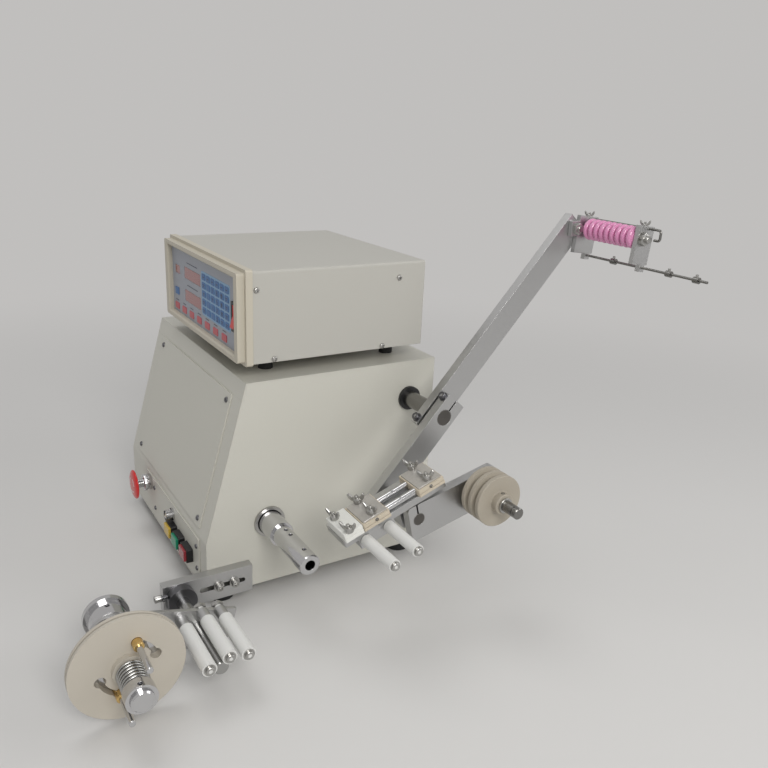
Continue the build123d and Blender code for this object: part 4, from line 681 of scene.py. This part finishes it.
for turn in (70.0, 250.0):
    pin = tilted(turn) * PIN_REACH + Vector((0, DISC_Y, DISC_Z))
    place = along_x(0, pin.y, pin.z)
    bushes.loft([(16.2, 3.02), (16.2, 5.2), (33.0, 5.2), (34.0, 4.4), (34.0, 3.02)], place, 40,
                loop=True)
    pin_ends.loft([(60.0, 3.0), (60.0, 3.2), (69.4, 3.2), (70.05, 2.5)], place, 32)
bushes.make("pin_bushes", "brass", "brake_wheel")
pin_ends.make("pin_ends", "chrome", "brake_wheel")
grub("collar_grub", "spring_collar", (69.1, DISC_Y, DISC_Z + 15), UP, 2.4, 1.0)
grub("hub_grub", "brake_swing", (-54, DISC_Y, DISC_Z + 20), UP, 2.4, 1.0)

# ---- floor and backdrop ------------------------------------------------------------------
PALE = (0.53, 0.52, 0.51, 1)
FLOOR_COLOR = (0.70, 0.692, 0.68, 1)
FLOOR_SIZE = 40
FADE_START, FADE_END = 0.55, 1.9             # metres from the middle, floor into backdrop


def camera_or_glossy(tree):
    """Output that is 1 for camera and glossy rays, and 0 for the rest."""
    path = add_node(tree, "ShaderNodeLightPath")
    seen = add_node(tree, "ShaderNodeMath")
    seen.operation = "ADD"
    seen.use_clamp = True
    tree.links.new(path.outputs["Is Camera Ray"], seen.inputs[0])
    tree.links.new(path.outputs["Is Glossy Ray"], seen.inputs[1])
    return seen.outputs["Value"]


def mix_shaders(tree, share, first, second, target):
    """Mix two shaders by a share into the tree's output."""
    mix = add_node(tree, "ShaderNodeMixShader")
    tree.links.new(share, mix.inputs["Fac"])
    tree.links.new(first, mix.inputs[1])
    tree.links.new(second, mix.inputs[2])
    tree.links.new(mix.outputs["Shader"], tree.nodes[target].inputs["Surface"])


bpy.ops.mesh.primitive_plane_add(size=FLOOR_SIZE, location=(0, 0, -0.1))
floor = bpy.context.object
floor.name = "floor"
ground = bpy.data.materials.new("floor")
ground.use_nodes = True
tree = ground.node_tree
paint = tree.nodes["Principled BSDF"]
paint.inputs["Base Color"].default_value = FLOOR_COLOR
paint.inputs["Roughness"].default_value = 0.75
paint.inputs["Specular IOR Level"].default_value = 0.2
coords = add_node(tree, "ShaderNodeTexCoord")
reach = add_node(tree, "ShaderNodeVectorMath")
reach.operation = "LENGTH"
fade = add_node(tree, "ShaderNodeMapRange", {"From Min": FADE_START, "From Max": FADE_END})
fade.interpolation_type = "SMOOTHSTEP"
both = add_node(tree, "ShaderNodeMath")
both.operation = "MULTIPLY"
far = add_node(tree, "ShaderNodeEmission", {"Color": PALE})
tree.links.new(coords.outputs["Object"], reach.inputs[0])
tree.links.new(reach.outputs["Value"], fade.inputs["Value"])
tree.links.new(camera_or_glossy(tree), both.inputs[0])
tree.links.new(fade.outputs["Result"], both.inputs[1])
mix_shaders(tree, both.outputs["Value"], paint.outputs["BSDF"], far.outputs["Emission"],
            "Material Output")
floor.data.materials.append(ground)

world = bpy.data.worlds.new("studio")
bpy.context.scene.world = world
world.use_nodes = True
tree = world.node_tree
dome = tree.nodes["Background"]
dome.inputs["Color"].default_value = (0.80, 0.80, 0.80, 1)
dome.inputs["Strength"].default_value = 0.5
wall = add_node(tree, "ShaderNodeBackground", {"Color": PALE})
mix_shaders(tree, camera_or_glossy(tree), dome.outputs["Background"],
            wall.outputs["Background"], "World Output")

# ---- light and camera --------------------------------------------------------------------
WHITE, WARM = (1, 1, 1), (1.0, 0.985, 0.96)


def softbox(name, place, target, size, power, color=WHITE):
    """Square area light aimed at a point."""
    lamp = bpy.data.lights.new(name, "AREA")
    lamp.shape = "SQUARE"
    lamp.size = size
    lamp.energy = power
    lamp.color = color
    holder = bpy.data.objects.new(name, lamp)
    holder.location = place
    aim = Vector(target) - Vector(place)
    holder.rotation_euler = aim.to_track_quat("-Z", "Y").to_euler()
    bpy.context.scene.collection.objects.link(holder)


softbox("key", (1.8, -0.25, 1.35), (-0.1, 0.05, 0.05), 0.9, 22, WARM)
softbox("side", (0.9, 1.5, 0.9), (-0.1, 0.1, 0.05), 0.8, 5)
softbox("top", (-0.6, -0.3, 1.9), (-0.2, 0.1, 0.0), 1.0, 7)

# The camera was fitted to the photograph's long edges: its focal length is in pixels.
FOCAL_PX, IMAGE_PX, SENSOR_MM = 780.45, 768, 36
CAMERA_PLACE = (0.6557, -0.3300, 0.4606)
AZIMUTH, ELEVATION, ROLL = 1.00866, 0.33004, 0.04663
camera_data = bpy.data.cameras.new("camera")
camera_data.lens = FOCAL_PX / IMAGE_PX * SENSOR_MM
camera_data.sensor_width = SENSOR_MM
camera_data.clip_start = 0.01
camera = bpy.data.objects.new("camera", camera_data)
forward = -Vector((math.sin(AZIMUTH) * math.cos(ELEVATION),
                   -math.cos(AZIMUTH) * math.cos(ELEVATION), math.sin(ELEVATION)))
level = forward.cross(Vector(UP)).normalized()
upright = level.cross(forward)
right = level * math.cos(ROLL) + upright * math.sin(ROLL)
up = right.cross(forward)
turn = Matrix((right, up, -forward)).transposed().to_4x4()
camera.matrix_world = Matrix.Translation(Vector(CAMERA_PLACE)) @ turn
bpy.context.scene.collection.objects.link(camera)
bpy.context.scene.camera = camera
bpy.context.scene.view_settings.view_transform = "Standard"
